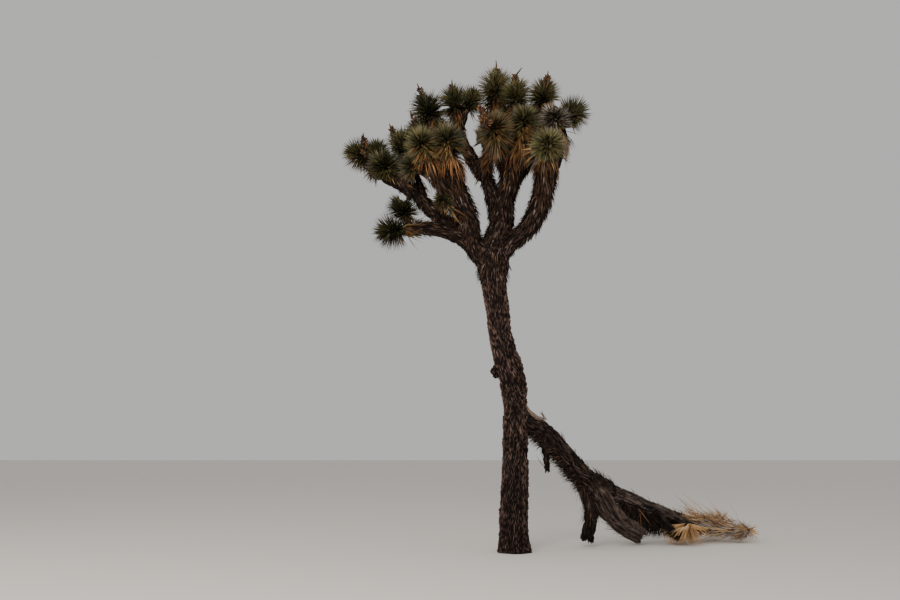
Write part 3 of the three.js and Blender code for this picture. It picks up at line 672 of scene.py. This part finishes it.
# share of the leaves that point down which have turned gold
TURNED, TURNED_ELSEWHERE = {"inner_left": 1.0, "left_front": 0.9, "centre": 0.9, "right": 0.2}, 0.25
LEAF_LONG, LEAF_WIDE, LEAF_THICK = 0.322, 0.0185, 0.006
LEAVES_EACH, LOWEST, HIGHEST = 560, -0.62, 0.985
# length of the leaves on heads where it isn't the usual one
LONGER = {
    "top": 1.22, "outer_right": 1.12, "low_left": 1.1, "low_left_upper": 1.16, "left_back": 1.16,
    "left_upper": 1.09, "top_right": 1.04, "outer_left_upper": 1.15, "centre_left": 1.12,
    "centre_left_side": 1.02, "right": 0.88, "centre_near": 1.08,
}
# older leaves below a head, how far down the bough they reach and how far into its neighbours' space
LOWER_LEAVES, LOWER_DEEP, LOWER_OVER = 110, 0.26, 0.08
FULLER = {
    "top": (260, 0.42, 0.3), "top_near": (300, 0.5, 0.3), "top_right": (300, 0.5, 0.3),
    "centre": (180, 0.4, 0.2), "outer_right_near": (150, 0.3, 0.2), "centre_left": (50, 0.2, 0.06),
    "centre_left_side": (22, 0.12, 0.06), "far_left": (50, 0.12, 0.1), "outer_right": (24, 0.12, 0.05),
    "low_left": (24, 0.12, 0.05), "inner_left": (180, 0.34, 0.15), "left_front": (150, 0.3, 0.12),
    "left_shaded": (50, 0.16, 0.08), "centre_near": (70, 0.14, 0.06), "outer_left": (130, 0.3, 0.25),
    "left_upper": (170, 0.3, 0.28),
}
GOLDEN_TURN = math.pi * (3 - math.sqrt(5))
SHORTER = (1, 0.86, 0.72, 0.6)
# heads of the broken bough, which keep their own space too: heart, aim, size
DRY_HEADS = {
    "dead_tip": ((3.64, 1.7, 0.28), (0.9, 0.4, -0.04), 0.9),
    "dead_far": ((3.9, 1.24, 0.19), (1, 0, -0.02), 0.75),
    "dead_side": ((2.87, 0.98, 0.29), (0.62, 0.5, 0.42), 0.85),
}
all_hearts = {name: head["heart"] for name, head in heads.items()}
all_hearts.update({name: np.array(heart) for name, (heart, _, _) in DRY_HEADS.items()})


def in_own_space(name, points, over):
    """Whether each point is nearer to this head's heart than to any other's, or hardly over the middle."""
    own = np.linalg.norm(points - all_hearts[name], axis=1)
    others = np.stack([heart for key, heart in all_hearts.items() if key != name])
    return own < np.linalg.norm(points[:, None] - others, axis=-1).min(1) + over


def around_aim(aim):
    side = unit(np.cross((1, 0, 0) if abs(aim[2]) > 0.98 else (0, 0, 1), aim))
    return side, np.cross(aim, side)


def find_room(name, root, source, along, full, over):
    """Tips of leaves that point away from source, each shortened till it finds room, and which ones did."""
    tip, placed = np.zeros(root.shape), np.zeros(len(root), bool)
    for shorter in SHORTER:
        here = source + along * (full * shorter)[:, None]
        good = in_own_space(name, here, over) & (here[:, 2] > 0.01)
        good &= clear_of(here, heads[name]["limb"]) & clear_of((root + here) / 2, heads[name]["limb"])
        good &= ~in_open_gap(here, 0.2 * root + 0.8 * here, 0.4 * root + 0.6 * here)
        tip[good & ~placed] = here[good & ~placed]
        placed |= good
    return tip, placed


def head_leaves(name, count, lowest, highest, random, jitter=0.5, long=LEAF_LONG):
    """Leaves fanned out round a head's aim by equal steps and a golden turn."""
    head = heads[name]
    aim, size, stem = head["aim"], head["size"], head["stem"]
    foot = head["heart"] - aim * HEART_REACH * size
    share = (np.arange(count) + 0.5) / count
    cosine = np.clip(lowest + (highest - lowest) * share + 0.05 * random.standard_normal(count), -0.98, 0.995)
    turn = np.arange(count) * GOLDEN_TURN + (random.random(count) - 0.5) * jitter
    out = outward(turn, *around_aim(aim))
    along = unit(cosine[:, None] * aim + np.sqrt(1 - cosine ** 2)[:, None] * out)
    source = foot + aim * (STEM_REACH * size * (0.5 + 0.22 * share))[:, None] + out * stem * 0.1
    root = foot + aim * (STEM_REACH * size * (0.16 + 0.8 * share))[:, None]
    root = root + out * (stem / 2 * (0.62 - 0.42 * share))[:, None]
    full = long * LONGER.get(name, 1) * size * (0.76 + 0.24 * random.random(count))
    tip, placed = find_room(name, root, source, along, full, 0.06)
    lift = aim * (0.012 + 0.02 * random.random((count, 1)))
    bow = (root + tip) / 2 + lift + 0.006 * random.standard_normal((count, 3))
    return [part[placed] for part in (root, bow, tip, np.cross(aim, out))]


def lower_leaves(name, random):
    """The oldest green leaves, off the bough behind the head, folded back further the lower they stand."""
    size, limb = heads[name]["size"], limbs[heads[name]["limb"]]
    count, deep, over = FULLER.get(name, (round(LOWER_LEAVES * size), LOWER_DEEP, LOWER_OVER))
    share = random.random(count)
    middle, forward, out, radius = spots_on(limb, limb["foot"] + 0.05 - deep * size * share, random)
    cosine = np.clip(-0.25 - 0.6 * share + 0.12 * random.standard_normal(count), -0.93, 0.2)[:, None]
    along = unit(unit(forward) * cosine + out * np.sqrt(1 - cosine ** 2) + DOWN * 0.22)
    root = middle + out * (radius - LEAF_BED)[:, None]
    full = LEAF_LONG * size * (0.78 + 0.2 * random.random(count))
    tip, placed = find_room(name, root, root, along, full, over)
    return [part[placed] for part in (root, (root + tip) / 2 + out * 0.02, tip, unit(np.cross(forward, out)))]


random = np.random.default_rng(77)
grown, tones = [], []
for name, head in heads.items():
    leaves = head_leaves(name, round(LEAVES_EACH * min(1, head["size"] + 0.1)), LOWEST, HIGHEST, random)
    older = lower_leaves(name, random)
    grown += [leaves, older]
    falling = np.clip(-0.45 - 1.7 * unit(leaves[2] - leaves[0])[:, 2:], 0, 1)
    falling = falling * TURNED.get(name, TURNED_ELSEWHERE)
    tones.append((1 - falling) * GREEN_TONES[TONE_OF.get(name, "plain")] + falling * GREEN_TONES["turned"])
    tones.append(np.tile(GREEN_TONES["turned" if name in TURNED else "ageing"], (len(older[0]), 1)))
leaves = together(grown)
sized = 0.85 + 0.3 * random.random(len(leaves[0]))
green_blades = blades(*leaves, LEAF_WIDE * sized, LEAF_THICK * sized, (0, 0.42, 1), (0.9, 1.0))
# painted shade: the feet of most leaves take the deepest green, darkening the heart of each head
green_leaves = sprayed("green_leaves", *green_blades, GREENS, (0.5, 0.4), np.concatenate(tones), random,
                       painted_shade_feet=0.6)
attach(green_leaves, "root")
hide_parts(*(HEAD_NODES.get(name, name + "_head") for name in heads))

# Golden skirts
# Under each green head hangs a skirt of the leaves that died last. They still have their full length, have
# dried to gold and orange brown, and hang back along the bough and down, more loosely than the older ones.
SKIRTS = {
    "fresh gold": "a67c4d", "orange gold": "96633c", "brown gold": "6f4a31", "dull brown": "402c21",
    "dry straw": "bd9d74", "grey straw": "8f8378",
}
SKIRT_LEAVES, SKIRT_DEEP = 250, 0.38
# weight of each colour in a skirt, and how full the skirts of heads over open gaps still are
SKIRT_WEIGHTS = {
    "gold": (3.0, 2.6, 1.6, 0.6, 0.8, 0.1), "brown": (0.6, 1.0, 2.4, 2.2, 0.1, 0.3),
    "grey": (0.3, 0.2, 0.8, 1.2, 1.0, 3.4), "dull": (1.0, 1.6, 2.2, 1.8, 0.2, 0.2),
}
SKIRT_TONES = {
    "outer_right_near": "grey", "outer_right": "grey", "centre": "dull", "inner_left": "gold",
    "left_front": "gold",
}
SKIRT_SHARE = {
    "centre_left_side": 0.05, "centre_left": 0.2, "low_left": 0.05, "low_left_upper": 0.25,
    "left_shaded": 0.2, "outer_right": 0.1, "far_left": 0.15, "outer_left": 0.3, "left_small": 0.04,
    "centre_near": 0.35, "outer_left_upper": 0.3, "inner_left": 1.5, "left_front": 0.9, "right": 0.7,
}


def skirt_leaves(name, random):
    """Dead leaves that hang from the stretch of bough below a head."""
    limb = limbs[heads[name]["limb"]]
    full = SKIRT_SHARE.get(name, 1) * heads[name]["size"]
    count = round(SKIRT_LEAVES * full)
    distance = limb["foot"] - 0.02 - SKIRT_DEEP * full ** 0.5 * random.random(count)
    middle, forward, out, radius = spots_on(limb, distance, random)
    root = middle + out * (radius - LEAF_BED)[:, None]
    fresh = np.clip(1 - (limb["foot"] - distance) / SKIRT_DEEP, 0, 1)
    spread = 0.30 + 0.55 * fresh * random.random(count)
    go = -forward * 0.75 + DOWN * 0.55 + out * spread[:, None]
    go = unit(go + 0.12 * random.standard_normal((count, 3)))
    go = unit(go - out * (np.minimum((go * out).sum(-1), 0.12)[:, None] - 0.12))
    long = full ** 0.4 * (0.25 + 0.1 * random.random(count))
    tip = root + go * long[:, None] + DOWN * (0.04 * random.random(count))[:, None]
    bow = root + go * (long * 0.5)[:, None] + out * 0.03
    free = clear_of(tip, name) & clear_of(bow, name) & in_own_space(name, tip, 0.22) & ~in_open_gap(bow, tip)
    return [part[free] for part in (root, bow, tip, unit(np.cross(out, go)))]


random = np.random.default_rng(5)
hung = [skirt_leaves(name, random) for name in heads]
tones = [SKIRT_TONES.get(name, "brown") for name in heads]
weights = np.repeat([SKIRT_WEIGHTS[tone] for tone in tones], [len(part[0]) for part in hung], axis=0)
skirt_blades = blades(*together(hung), 0.011 + 0.006 * random.random(len(weights)), 0.005)
golden_skirts = sprayed("golden_skirts", *skirt_blades, SKIRTS, (0.8, 0.2), weights, random)
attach(golden_skirts, "root")

# Old fruit stalks
# Last year's flower stalks stand in the middle of some heads: a dry stalk that branches into short arms,
# each with hanging egg-shaped capsules of thin brown husk. One, near the crown's middle, is fat with fruit.

# from the heart: where the fruit begins and ends, the bare tip, how many capsules, longest arm, their husks
STALKS = {
    "top": ((0.01, -0.10, 0.02), (0.01, -0.05, 0.29), (0.00, -0.04, 0.47), 80, 0.085, "red"),
    "top_near": ((-0.03, -0.12, 0.02), (-0.02, -0.06, 0.27), (0.095, -0.04, 0.43), 60, 0.060, "red"),
    "top_right": ((0.02, -0.12, 0.05), (0.055, -0.05, 0.29), (0.075, -0.04, 0.41), 80, 0.080, "red"),
    "centre_left": ((-0.03, -0.04, 0.10), (-0.05, 0, 0.29), (-0.055, 0, 0.40), 34, 0.045, "dark"),
    "left_back": ((-0.04, -0.06, 0.10), (-0.14, 0, 0.36), (-0.18, 0, 0.47), 48, 0.070, "dark"),
    "left_upper": ((-0.12, -0.05, 0.10), (-0.18, 0, 0.28), (-0.22, 0, 0.37), 40, 0.050, "dark"),
    "outer_left": ((0.12, -0.20, -0.12), (0.07, -0.08, 0.24), (0.06, -0.04, 0.35), 64, 0.058, "gold"),
    "left_front": ((-0.08, 0.08, 0.26), (-0.17, 0.15, 0.50), (-0.19, 0.16, 0.58), 18, 0.034, "dark"),
    "centre_near": (
        (-0.145, -0.28, -0.07), (-0.215, -0.25, 0.23), (-0.255, -0.22, 0.345), 110, 0.085, "gold"),
    "rear": ((0, 0.10, 0.05), (-0.02, 0.14, 0.28), (-0.02, 0.16, 0.4), 50, 0.060, "dark"),
}
HUSKS = {
    "brown husk": "48362a", "dark husk": "271b16", "red husk": "5c3a28", "tan husk": "6c523a",
    "gold husk": "83623e",
}
HUSK_WEIGHTS = {
    "red": (2, 2, 2.4, 0.8, 0.2), "dark": (2.2, 3, 0.8, 0.3, 0), "gold": (1.7, 1.5, 0.9, 1.9, 1.4),
}
CAPSULE_LONG, CAPSULE_WIDE, CAPSULE_SIDES = 0.056, 0.026, 8
# share of the capsule's length and of its width at each ring
CAPSULE_RISE, CAPSULE_SWELL = np.array([(0, 0.16, 0.42, 0.7, 0.9, 1), (0.12, 0.72, 1, 0.86, 0.42, 0.08)])
STALK_THICK, ARM_THICK, ARM_SHORTEST = (0.03, 0.026, 0.017, 0.042, 0.012), (0.009, 0.006), 0.008


def rod(start, end, thick, sides=6):
    """A slender round stick, tapering from its start to its end."""
    ring = outward(turns(sides), *around_aim(unit(end - start)))
    return close_rings(np.stack([start + ring * thick[0] / 2, end + ring * thick[1] / 2]))


def capsule(place, go, size):
    """One husk: an egg with a blunt point, along go."""
    ring = outward(turns(CAPSULE_SIDES), *around_aim(go))
    return close_rings(place + CAPSULE_RISE[:, None, None] * go * CAPSULE_LONG * size
                       + ring[None] * (CAPSULE_SWELL * CAPSULE_WIDE / 2 * size)[:, None, None])


random = np.random.default_rng(9)
stalk_parts, capsule_parts, husk_tones = [], [], []
for name, (begin, stop, peak, count, longest, husk) in STALKS.items():
    heart = heads[name]["heart"]
    begin, stop, peak = (heart + np.array(place) for place in (begin, stop, peak))
    stalk_parts += [rod(heart - heads[name]["aim"] * 0.05, begin, STALK_THICK[:2]),
                    rod(begin, stop, STALK_THICK[1:3]), rod(stop, peak, STALK_THICK[3:])]
    for fruit in range(count):
        share, turn = (fruit + 0.5) / count, fruit * GOLDEN_TURN
        out = unit((math.cos(turn), math.sin(turn), 0.5))
        start = begin + (stop - begin) * share
        end = start + out * (ARM_SHORTEST + longest * (1 - 0.8 * share) * (0.3 + 0.7 * random.random()))
        stalk_parts.append(rod(start, end, ARM_THICK, 4))
        go = unit(out * 0.7 - DOWN * 0.35 + 0.4 * random.standard_normal(3))
        capsule_parts.append(capsule(end, go, 0.8 + 0.35 * random.random()))
        husk_tones.append(HUSK_WEIGHTS[husk])
fruit_stalks = make_piece("fruit_stalks", *join(stalk_parts), [plain_finish("dry stalk", "4b3423", 0.8, 0.2)])
fruit_husks = sprayed("fruit_husks", *join(capsule_parts), HUSKS, (0.7, 0.2), husk_tones, random, smooth=True)
for piece in (fruit_stalks, fruit_husks):
    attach(piece, "root")

# Broken bough
# An old main bough has split from the trunk at half its height and leans on the ground on its branches. It is
# dead wood, grey and furrowed along its length where the bark has gone, and torn strips still join the trunk.

# parent, share of its length, bends, end or the dead head there, thickness, and how the surface looks
DEAD_LIMBS = {
    "broken_bough": ("trunk", 0.435, [(0.52, 0.21, 1.735), (0.84, 0.32, 1.385), (1.18, 0.46, 1.045)],
                     (1.56, 0.65, 0.835), (0.28, 0.35), "furrowed"),
    "broken_bough_right": (
        "broken_bough", 0.9, [(2.3, 1.09, 0.56), (3.02, 1.45, 0.335)], "dead_tip", (0.27, 0.14), "grey"),
    "broken_bough_middle": (
        "broken_bough", 0.80, [(1.66, 0.68, 0.43)], (2.06, 0.86, 0.15), (0.33, 0.26), "worn"),
    "broken_bough_stub": (
        "broken_bough", 0.66, [(1.24, 0.47, 0.62)], (1.18, 0.54, 0.12), (0.23, 0.21), "shaggy"),
    "broken_bough_twig": ("broken_bough_right", 0.6, [(3.16, 1.23, 0.23)], "dead_far", (0.12, 0.09), "grey"),
    "broken_bough_spur": (
        "broken_bough", 0.24, [(0.52, 0.19, 1.45)], (0.535, 0.18, 1.19), (0.11, 0.08), "shaggy"),
}
DEAD_SIDE_STEM, DEAD_COLLAR = ("broken_bough_right", 0.46), 0.1
# how proud the surface stands, then its finish
LOOKS = {
    "furrowed": (0.030, "grey furrowed wood", "030202", "170d0a", "251a16", "5a4940", 0.85, 0.9, 1.0),
    "grey": (0.028, "silvered wood", "040303", "201613", "392e2b", "74665f", 0.9, 0.9, 1.0),
    "worn": (0.034, "pale worn wood", "090505", "271c18", "3f332d", "6a5b53", 1.0, 0.85, 1.0),
    "shaggy": (0.034, "dark shaggy wood", "030202", "140b08", "1e1511", "41342c", 0.7, 0.95, 1.0),
}
DEAD_SIDE_WIDE, DEAD_PLATE_WIDE, DEAD_PLATE_TALL = 0.0095, 0.032, 0.12
BREAK_LONG, SPLINTER_LONG = 0.12, 0.055
# torn strips from the trunk to the bough: their bends, how many fibres and how far these spread
TORN = [
    ([(0.18, 0.02, 2.24), (0.25, 0, 2.09), (0.33, 0.01, 2.02), (0.42, 0.05, 1.98), (0.5, 0.1, 1.965)],
     30, 0.020),
    ([(0.18, 0.06, 2.20), (0.27, 0.05, 2.06), (0.38, 0.08, 1.99), (0.50, 0.14, 1.93)], 14, 0.030),
    ([(0.455, 0.12, 2.08), (0.49, 0.12, 2.02), (0.53, 0.13, 1.95)], 10, 0.014),
]
TORN_WOOD, TORN_SHARES = {"torn pale wood": "a08e82", "torn brown wood": "6a564a"}, (2.0, 1.4)
FIBRE_ROWS, FIBRE_SIDES, FIBRE_POINT = 12, 4, 0.25


def furrows(grain, seed):
    """Long upright furrows and ridges of bare wood, from 0 to 1."""
    long = grain * (1, 1, 0.07)
    ridges = 1 - np.abs(swells(long, 0.030, seed)) * 2.0
    return np.clip(0.6 * ridges + 0.22 + 0.5 * swells(long, 0.013, seed + 1), 0, 1)


def dead_skin(limb, look, seed):
    """Rings of furrowed wood round a dead limb, with a splintered end where it broke off."""
    radius = limb["radius"]
    sides = int(np.clip(2 * np.pi * radius.mean() / DEAD_SIDE_WIDE, 36, 110))
    out, grain = wrap(limb, radius, sides, seed * 0.7)
    if look in ("worn", "grey"):
        relief = furrows(grain, seed)
        tint = np.clip(0.5 + 0.5 * swells(grain * (1, 1, 0.15), 0.05, seed + 2), 0, 1)
    else:
        count = max(8, round(2 * np.pi * radius.mean() / DEAD_PLATE_WIDE))
        around = np.arange(sides) / sides + 0.03 * swells(grain, 0.3, seed + 4)
        along = grain[..., 2] + 0.04 * swells(grain, 0.2, seed + 9)
        relief, tint = bark_plates(around, along, count, DEAD_PLATE_TALL, seed)
    full = 0.98
    if look == "worn":
        full, radius = 1.06, radius * np.clip(0.55 + limb["run"] / 0.5, 0, 1)
    reach = radius[:, None] * full + LOOKS[look][0] * (relief - 0.65) + 0.014 * swells(grain, 0.2, seed + 5)
    rings = limb["middle"][:, None] + out * reach[..., None]
    broken = np.clip(1 - (limb["run"][-1] - limb["run"]) / BREAK_LONG, 0, 1)[:, None]
    splinter = broken * SPLINTER_LONG * swells(rolled(turns(sides), 1, 0) * 0.2, 0.022, seed + 8)[None]
    rings = rings + limb["forward"][:, None] * splinter[..., None]
    rings[..., 2] = np.maximum(rings[..., 2], 0.004)
    return rings, relief, tint, grain


for name, (parent, share, bends, end, thick, _) in DEAD_LIMBS.items():
    places = [place_on(parent, share), *bends]
    if end in DRY_HEADS:
        grow_to_head(name, end, places, *DRY_HEADS[end], thick, thick[1] * STEM_SLIM, DEAD_COLLAR)
    else:
        limbs[name] = grow_limb([*places, end], thick, collar=DEAD_COLLAR)
heart, aim, size = DRY_HEADS["dead_side"]
stem = SIDE_STEM_THICK * size
grow_to_head("dead_side", "dead_side", [place_on(*DEAD_SIDE_STEM)], heart, aim, size, (stem, stem), stem)
look_of = {name: limb[-1] for name, limb in DEAD_LIMBS.items()}
look_of["dead_side"] = "shaggy"
dead_skins = [dead_skin(limbs[name], look, 3 + k) for k, (name, look) in enumerate(look_of.items())]
faces_each = [2 * skin[1].size for skin in dead_skins]
wood_of = np.repeat([list(LOOKS).index(look) for look in look_of.values()], faces_each)
dead_wood = bark_piece("dead_wood", dead_skins, [bark_finish(*look[1:]) for look in LOOKS.values()], wood_of)
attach(dead_wood, "root")
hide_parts(*DEAD_LIMBS)


def fibre(places, thick):
    """A thin fibre of torn wood through the given places, pointed at both ends."""
    points, run = smooth_line(places, 8)
    row = along_line(points, run, np.linspace(0, run[-1], FIBRE_ROWS))
    go = unit(np.gradient(row, axis=0))
    side = unit(np.cross(go, (0.2, 0.1, 1)))
    wide = thick / 2 * np.sin(np.linspace(FIBRE_POINT, np.pi - FIBRE_POINT, FIBRE_ROWS))
    ring = outward(turns(FIBRE_SIDES), side[:, None], np.cross(go, side)[:, None])
    return close_rings(row[:, None] + ring * wide[:, None, None])


random = np.random.default_rng(31)
torn_parts = []
for bends, count, spread in TORN:
    for _ in range(count):
        moved = np.array(bends) + spread * unit(random.standard_normal(3)) * random.random()
        moved += 0.010 * random.standard_normal(moved.shape)
        torn_parts.append(fibre(moved, 0.006 + 0.009 * random.random()))
torn_weights = np.tile(TORN_SHARES, (len(torn_parts), 1))
torn_fibres = sprayed("torn_fibres", *join(torn_parts), TORN_WOOD, (0.85, 0.2), torn_weights, random)
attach(torn_fibres, "root")

# Dead heads and straw
# The broken bough's heads died when it fell. Their leaves have bleached to straw and folded back over the
# branch and down to the ground, thin and dry, with dark ones on and under the branch, partly dark dead leaves
# and partly painted shade where the branch is shaded.
STRAWS = {
    "bright straw": "e0bb88", "straw": "c29663", "brown straw": "846243", "grey straw": "a99d90",
    "shade brown": "291c16", "dark thatch": "150e0a", "weathered brown": "41352e", "faded brown": "6b5a50",
}
# weight of each straw on each dead head, and on the leaves in the shade of the branch, whose darkness is
# partly painted shade
DRY_TONES = {
    "dead_tip": (3.0, 2.6, 1.0, 1.2, 0.1, 0, 0, 0.2), "dead_side": (3.4, 3.0, 1.1, 0.5, 0.1, 0, 0, 0),
    "dead_far": (1.2, 1.0, 0.6, 3.6, 0.2, 0, 0.2, 0.5),
}
# the shaded, brown and curtain tones darken the leaves on and under the branch with shade brown and dark
# thatch, partly their own dark and partly painted shade
SHADED_TONE = (0, 0, 0.06, 0, 2.6, 2.8, 1.0, 0.1)
BROWN_TONE = (0, 0, 0.12, 0, 1.8, 1.4, 2.4, 0.7)
CURTAIN_TONE = (0, 0, 0.12, 0, 2.6, 3.8, 0.6, 0.1)
FADED_TONE = (0, 0, 0.1, 0.02, 0.5, 0.3, 2.4, 2.6)
# leaves folded back from a dead head, and ones that still stand out: how many, between which angles, how long
FOLDED, STANDING = (260, -0.99, -0.5, 0.43), (110, -0.5, 0.9, 0.34)
# leaves laid back behind a dead head: from and to how far past the foot, area of each, lengths, lift, hang
LAID_BACK = (-0.5, 0.1, 0.0007, (0.35, 0.32), 0.26, 0.2)
# stretch of each limb that still has old leaves on it, the area each leaf covers, their lift, hang and tone
SHADED_THATCH = [
    ("broken_bough", 0.22, 2.2, 0.0028, 0.06, 0.3, SHADED_TONE),
    ("broken_bough", 1.35, 2.2, 0.0035, 0.10, 0.3, BROWN_TONE),
    ("broken_bough_right", 0.10, 1.9, 0.0030, 0.10, 0.55, SHADED_TONE),
    ("broken_bough_middle", 0.0, 0.42, 0.0013, 0.08, 0.2, BROWN_TONE),
    ("broken_bough_middle", 0.1, 1.1, 0.0016, 0.05, 0.1, FADED_TONE),
    ("broken_bough_stub", 0.05, 0.72, 0.0012, 0.12, 1.4, SHADED_TONE),
    ("broken_bough_stub", 0.05, 0.72, 0.0035, 0.25, 1.4, BROWN_TONE),
    ("broken_bough_spur", 0.10, 0.62, 0.0016, 0.06, 0.1, SHADED_TONE),
    ("broken_bough_twig", 0.2, 0.8, 0.0024, 0.14, 0.4, SHADED_TONE),
]
THATCH_LONG = (0.24, 0.16)
# dead leaves that hang from a limb, dark partly as painted shade in the hollow under it: how many, from and
# to where along it, how long, how far round it, tone
CURTAINS = {
    "broken_bough_right": (1000, 0.45, 1.72, 0.58, 0.9, CURTAIN_TONE),
    "broken_bough": (1000, 0.25, 1.9, 0.24, 1.3, BROWN_TONE),
}


def curtain(limb, random, count, near, far, longest, spread):
    """Dead leaves under a limb: long ones hang nearly straight down, and short ones back along it too."""
    distance = near + (far - near) * random.random(count)
    middle, radius, forward = rows_at(limb, distance, "middle", "radius", "forward")
    sway = spread * (random.random(count) * 2 - 1)[:, None]
    out = unit(DOWN + sway * unit(np.cross(forward, (0, 0, 1))))
    root = middle + out * (radius * 0.85)[:, None]
    drop = np.minimum(longest * (0.5 + 0.5 * random.random(count)), root[:, 2] - 0.05)
    go = unit(np.array([-0.12, 0, -1.0]) + 0.3 * random.standard_normal((count, 3)))
    if longest < 0.3:
        go = unit(go - 1.1 * unit(forward) + 0.25 * random.standard_normal((count, 3)))
    tip = root + go * drop[:, None]
    return [root, (root + tip) / 2 + 0.015 * random.standard_normal((count, 3)), tip,
            unit(np.cross(out, go) + 0.3 * random.standard_normal((count, 3)))]


def lay_straw(leaves, tone):
    straw_groups.append(leaves[:4])
    straw_weights.append(np.tile(tone, (len(leaves[0]), 1)))


def keep_above(points, height):
    points[:, 2] = np.maximum(points[:, 2], height)


random = np.random.default_rng(12)
straw_groups, straw_weights = [], []
for name, tone in DRY_TONES.items():
    for count, lowest, highest, long in (FOLDED, STANDING):
        longer = 1.3 if name == "dead_side" else 1
        leaves = head_leaves(name, count, lowest, highest, random, 1.2, long * longer)
        for part, share in zip(leaves[1:3], (0.3, 1)):
            if name == "dead_side":
                part[:, 2] -= np.maximum(part[:, 2] - leaves[0][:, 2], 0) * (0.8 + 1.2 * share)
            part[:, 2] -= share * 0.12 * random.random(len(part))
        lay_straw(leaves, tone)
    if name != "dead_side":
        limb, (start, end, *laid_back) = heads[name]["limb"], LAID_BACK
        foot = limbs[limb]["foot"]
        lay_straw(old_leaves(limb, random, foot + start, foot + end, *laid_back), tone)
for name, start, end, area, lift, hang, tone in SHADED_THATCH:
    end = min(end, limbs[name]["foot"])
    lay_straw(old_leaves(name, random, start, end, area, THATCH_LONG, lift, hang), tone)
for name, (*values, tone) in CURTAINS.items():
    lay_straw(curtain(limbs[name], random, *values), tone)
leaves = together(straw_groups)
for part, height in zip(leaves, (0.008, 0.012, 0.010)):
    keep_above(part, height)
weights = np.concatenate(straw_weights)
points, faces = blades(*leaves, 0.010 + 0.006 * random.random(len(weights)), 0.004)
keep_above(points, 0.003)
straw_leaves = sprayed("straw_leaves", points, faces, STRAWS, (0.8, 0.2), weights, random)
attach(straw_leaves, "root")
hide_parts(*(name + "_head" for name in DRY_HEADS))

# Floor, light and camera
# A plain pale floor under a pale room, one broad soft light from above and in front and a weaker one from the
# left, and a camera at standing height where the photograph was taken, tipped up a little.
FLOOR_HALF, FLOOR_DEPTH = 60, -0.002
ROOM_COLOUR, ROOM_STRENGTH = (0.84, 0.83, 0.82, 1), 0.66
LENS, SENSOR_WIDE, TIPPED_UP = 35, 36, 9.09

corners = [(x * FLOOR_HALF, y * FLOOR_HALF, FLOOR_DEPTH) for x, y in ((-1, -1), (1, -1), (1, 1), (-1, 1))]
pale_floor = plain_finish("pale floor", "e6e2dc", 0.9, 0.1)
floor = make_piece("floor", corners, [(0, 1, 2, 3)], [pale_floor], smooth=False)

room = bpy.data.worlds.new("pale room")
room.use_nodes = True
room.node_tree.nodes["Background"].inputs["Color"].default_value = ROOM_COLOUR
room.node_tree.nodes["Background"].inputs["Strength"].default_value = ROOM_STRENGTH
bpy.context.scene.world = room


def soft_light(name, place, towards, size, power, colour):
    lamp = bpy.data.lights.new(name, "AREA")
    lamp.size = size
    lamp.energy = power
    lamp.color = colour
    light = add_object(name, lamp)
    light.location = place
    light.rotation_euler = (Vector(towards) - Vector(place)).to_track_quat("-Z", "Y").to_euler()


soft_light("front light", (-4, -14, 8.5), (0, 0, 4), 8, 1650, (1, 0.93, 0.87))
soft_light("left light", (-13, -6, 6), (0, 0, 4.5), 6, 280, (1, 0.84, 0.74))

view = bpy.data.cameras.new("standing view")
view.lens = LENS
view.sensor_width = SENSOR_WIDE
camera = add_object("standing view", view)
camera.location = STANDING_PLACE
camera.rotation_euler = (math.radians(90 + TIPPED_UP), 0, 0)
bpy.context.scene.camera = camera
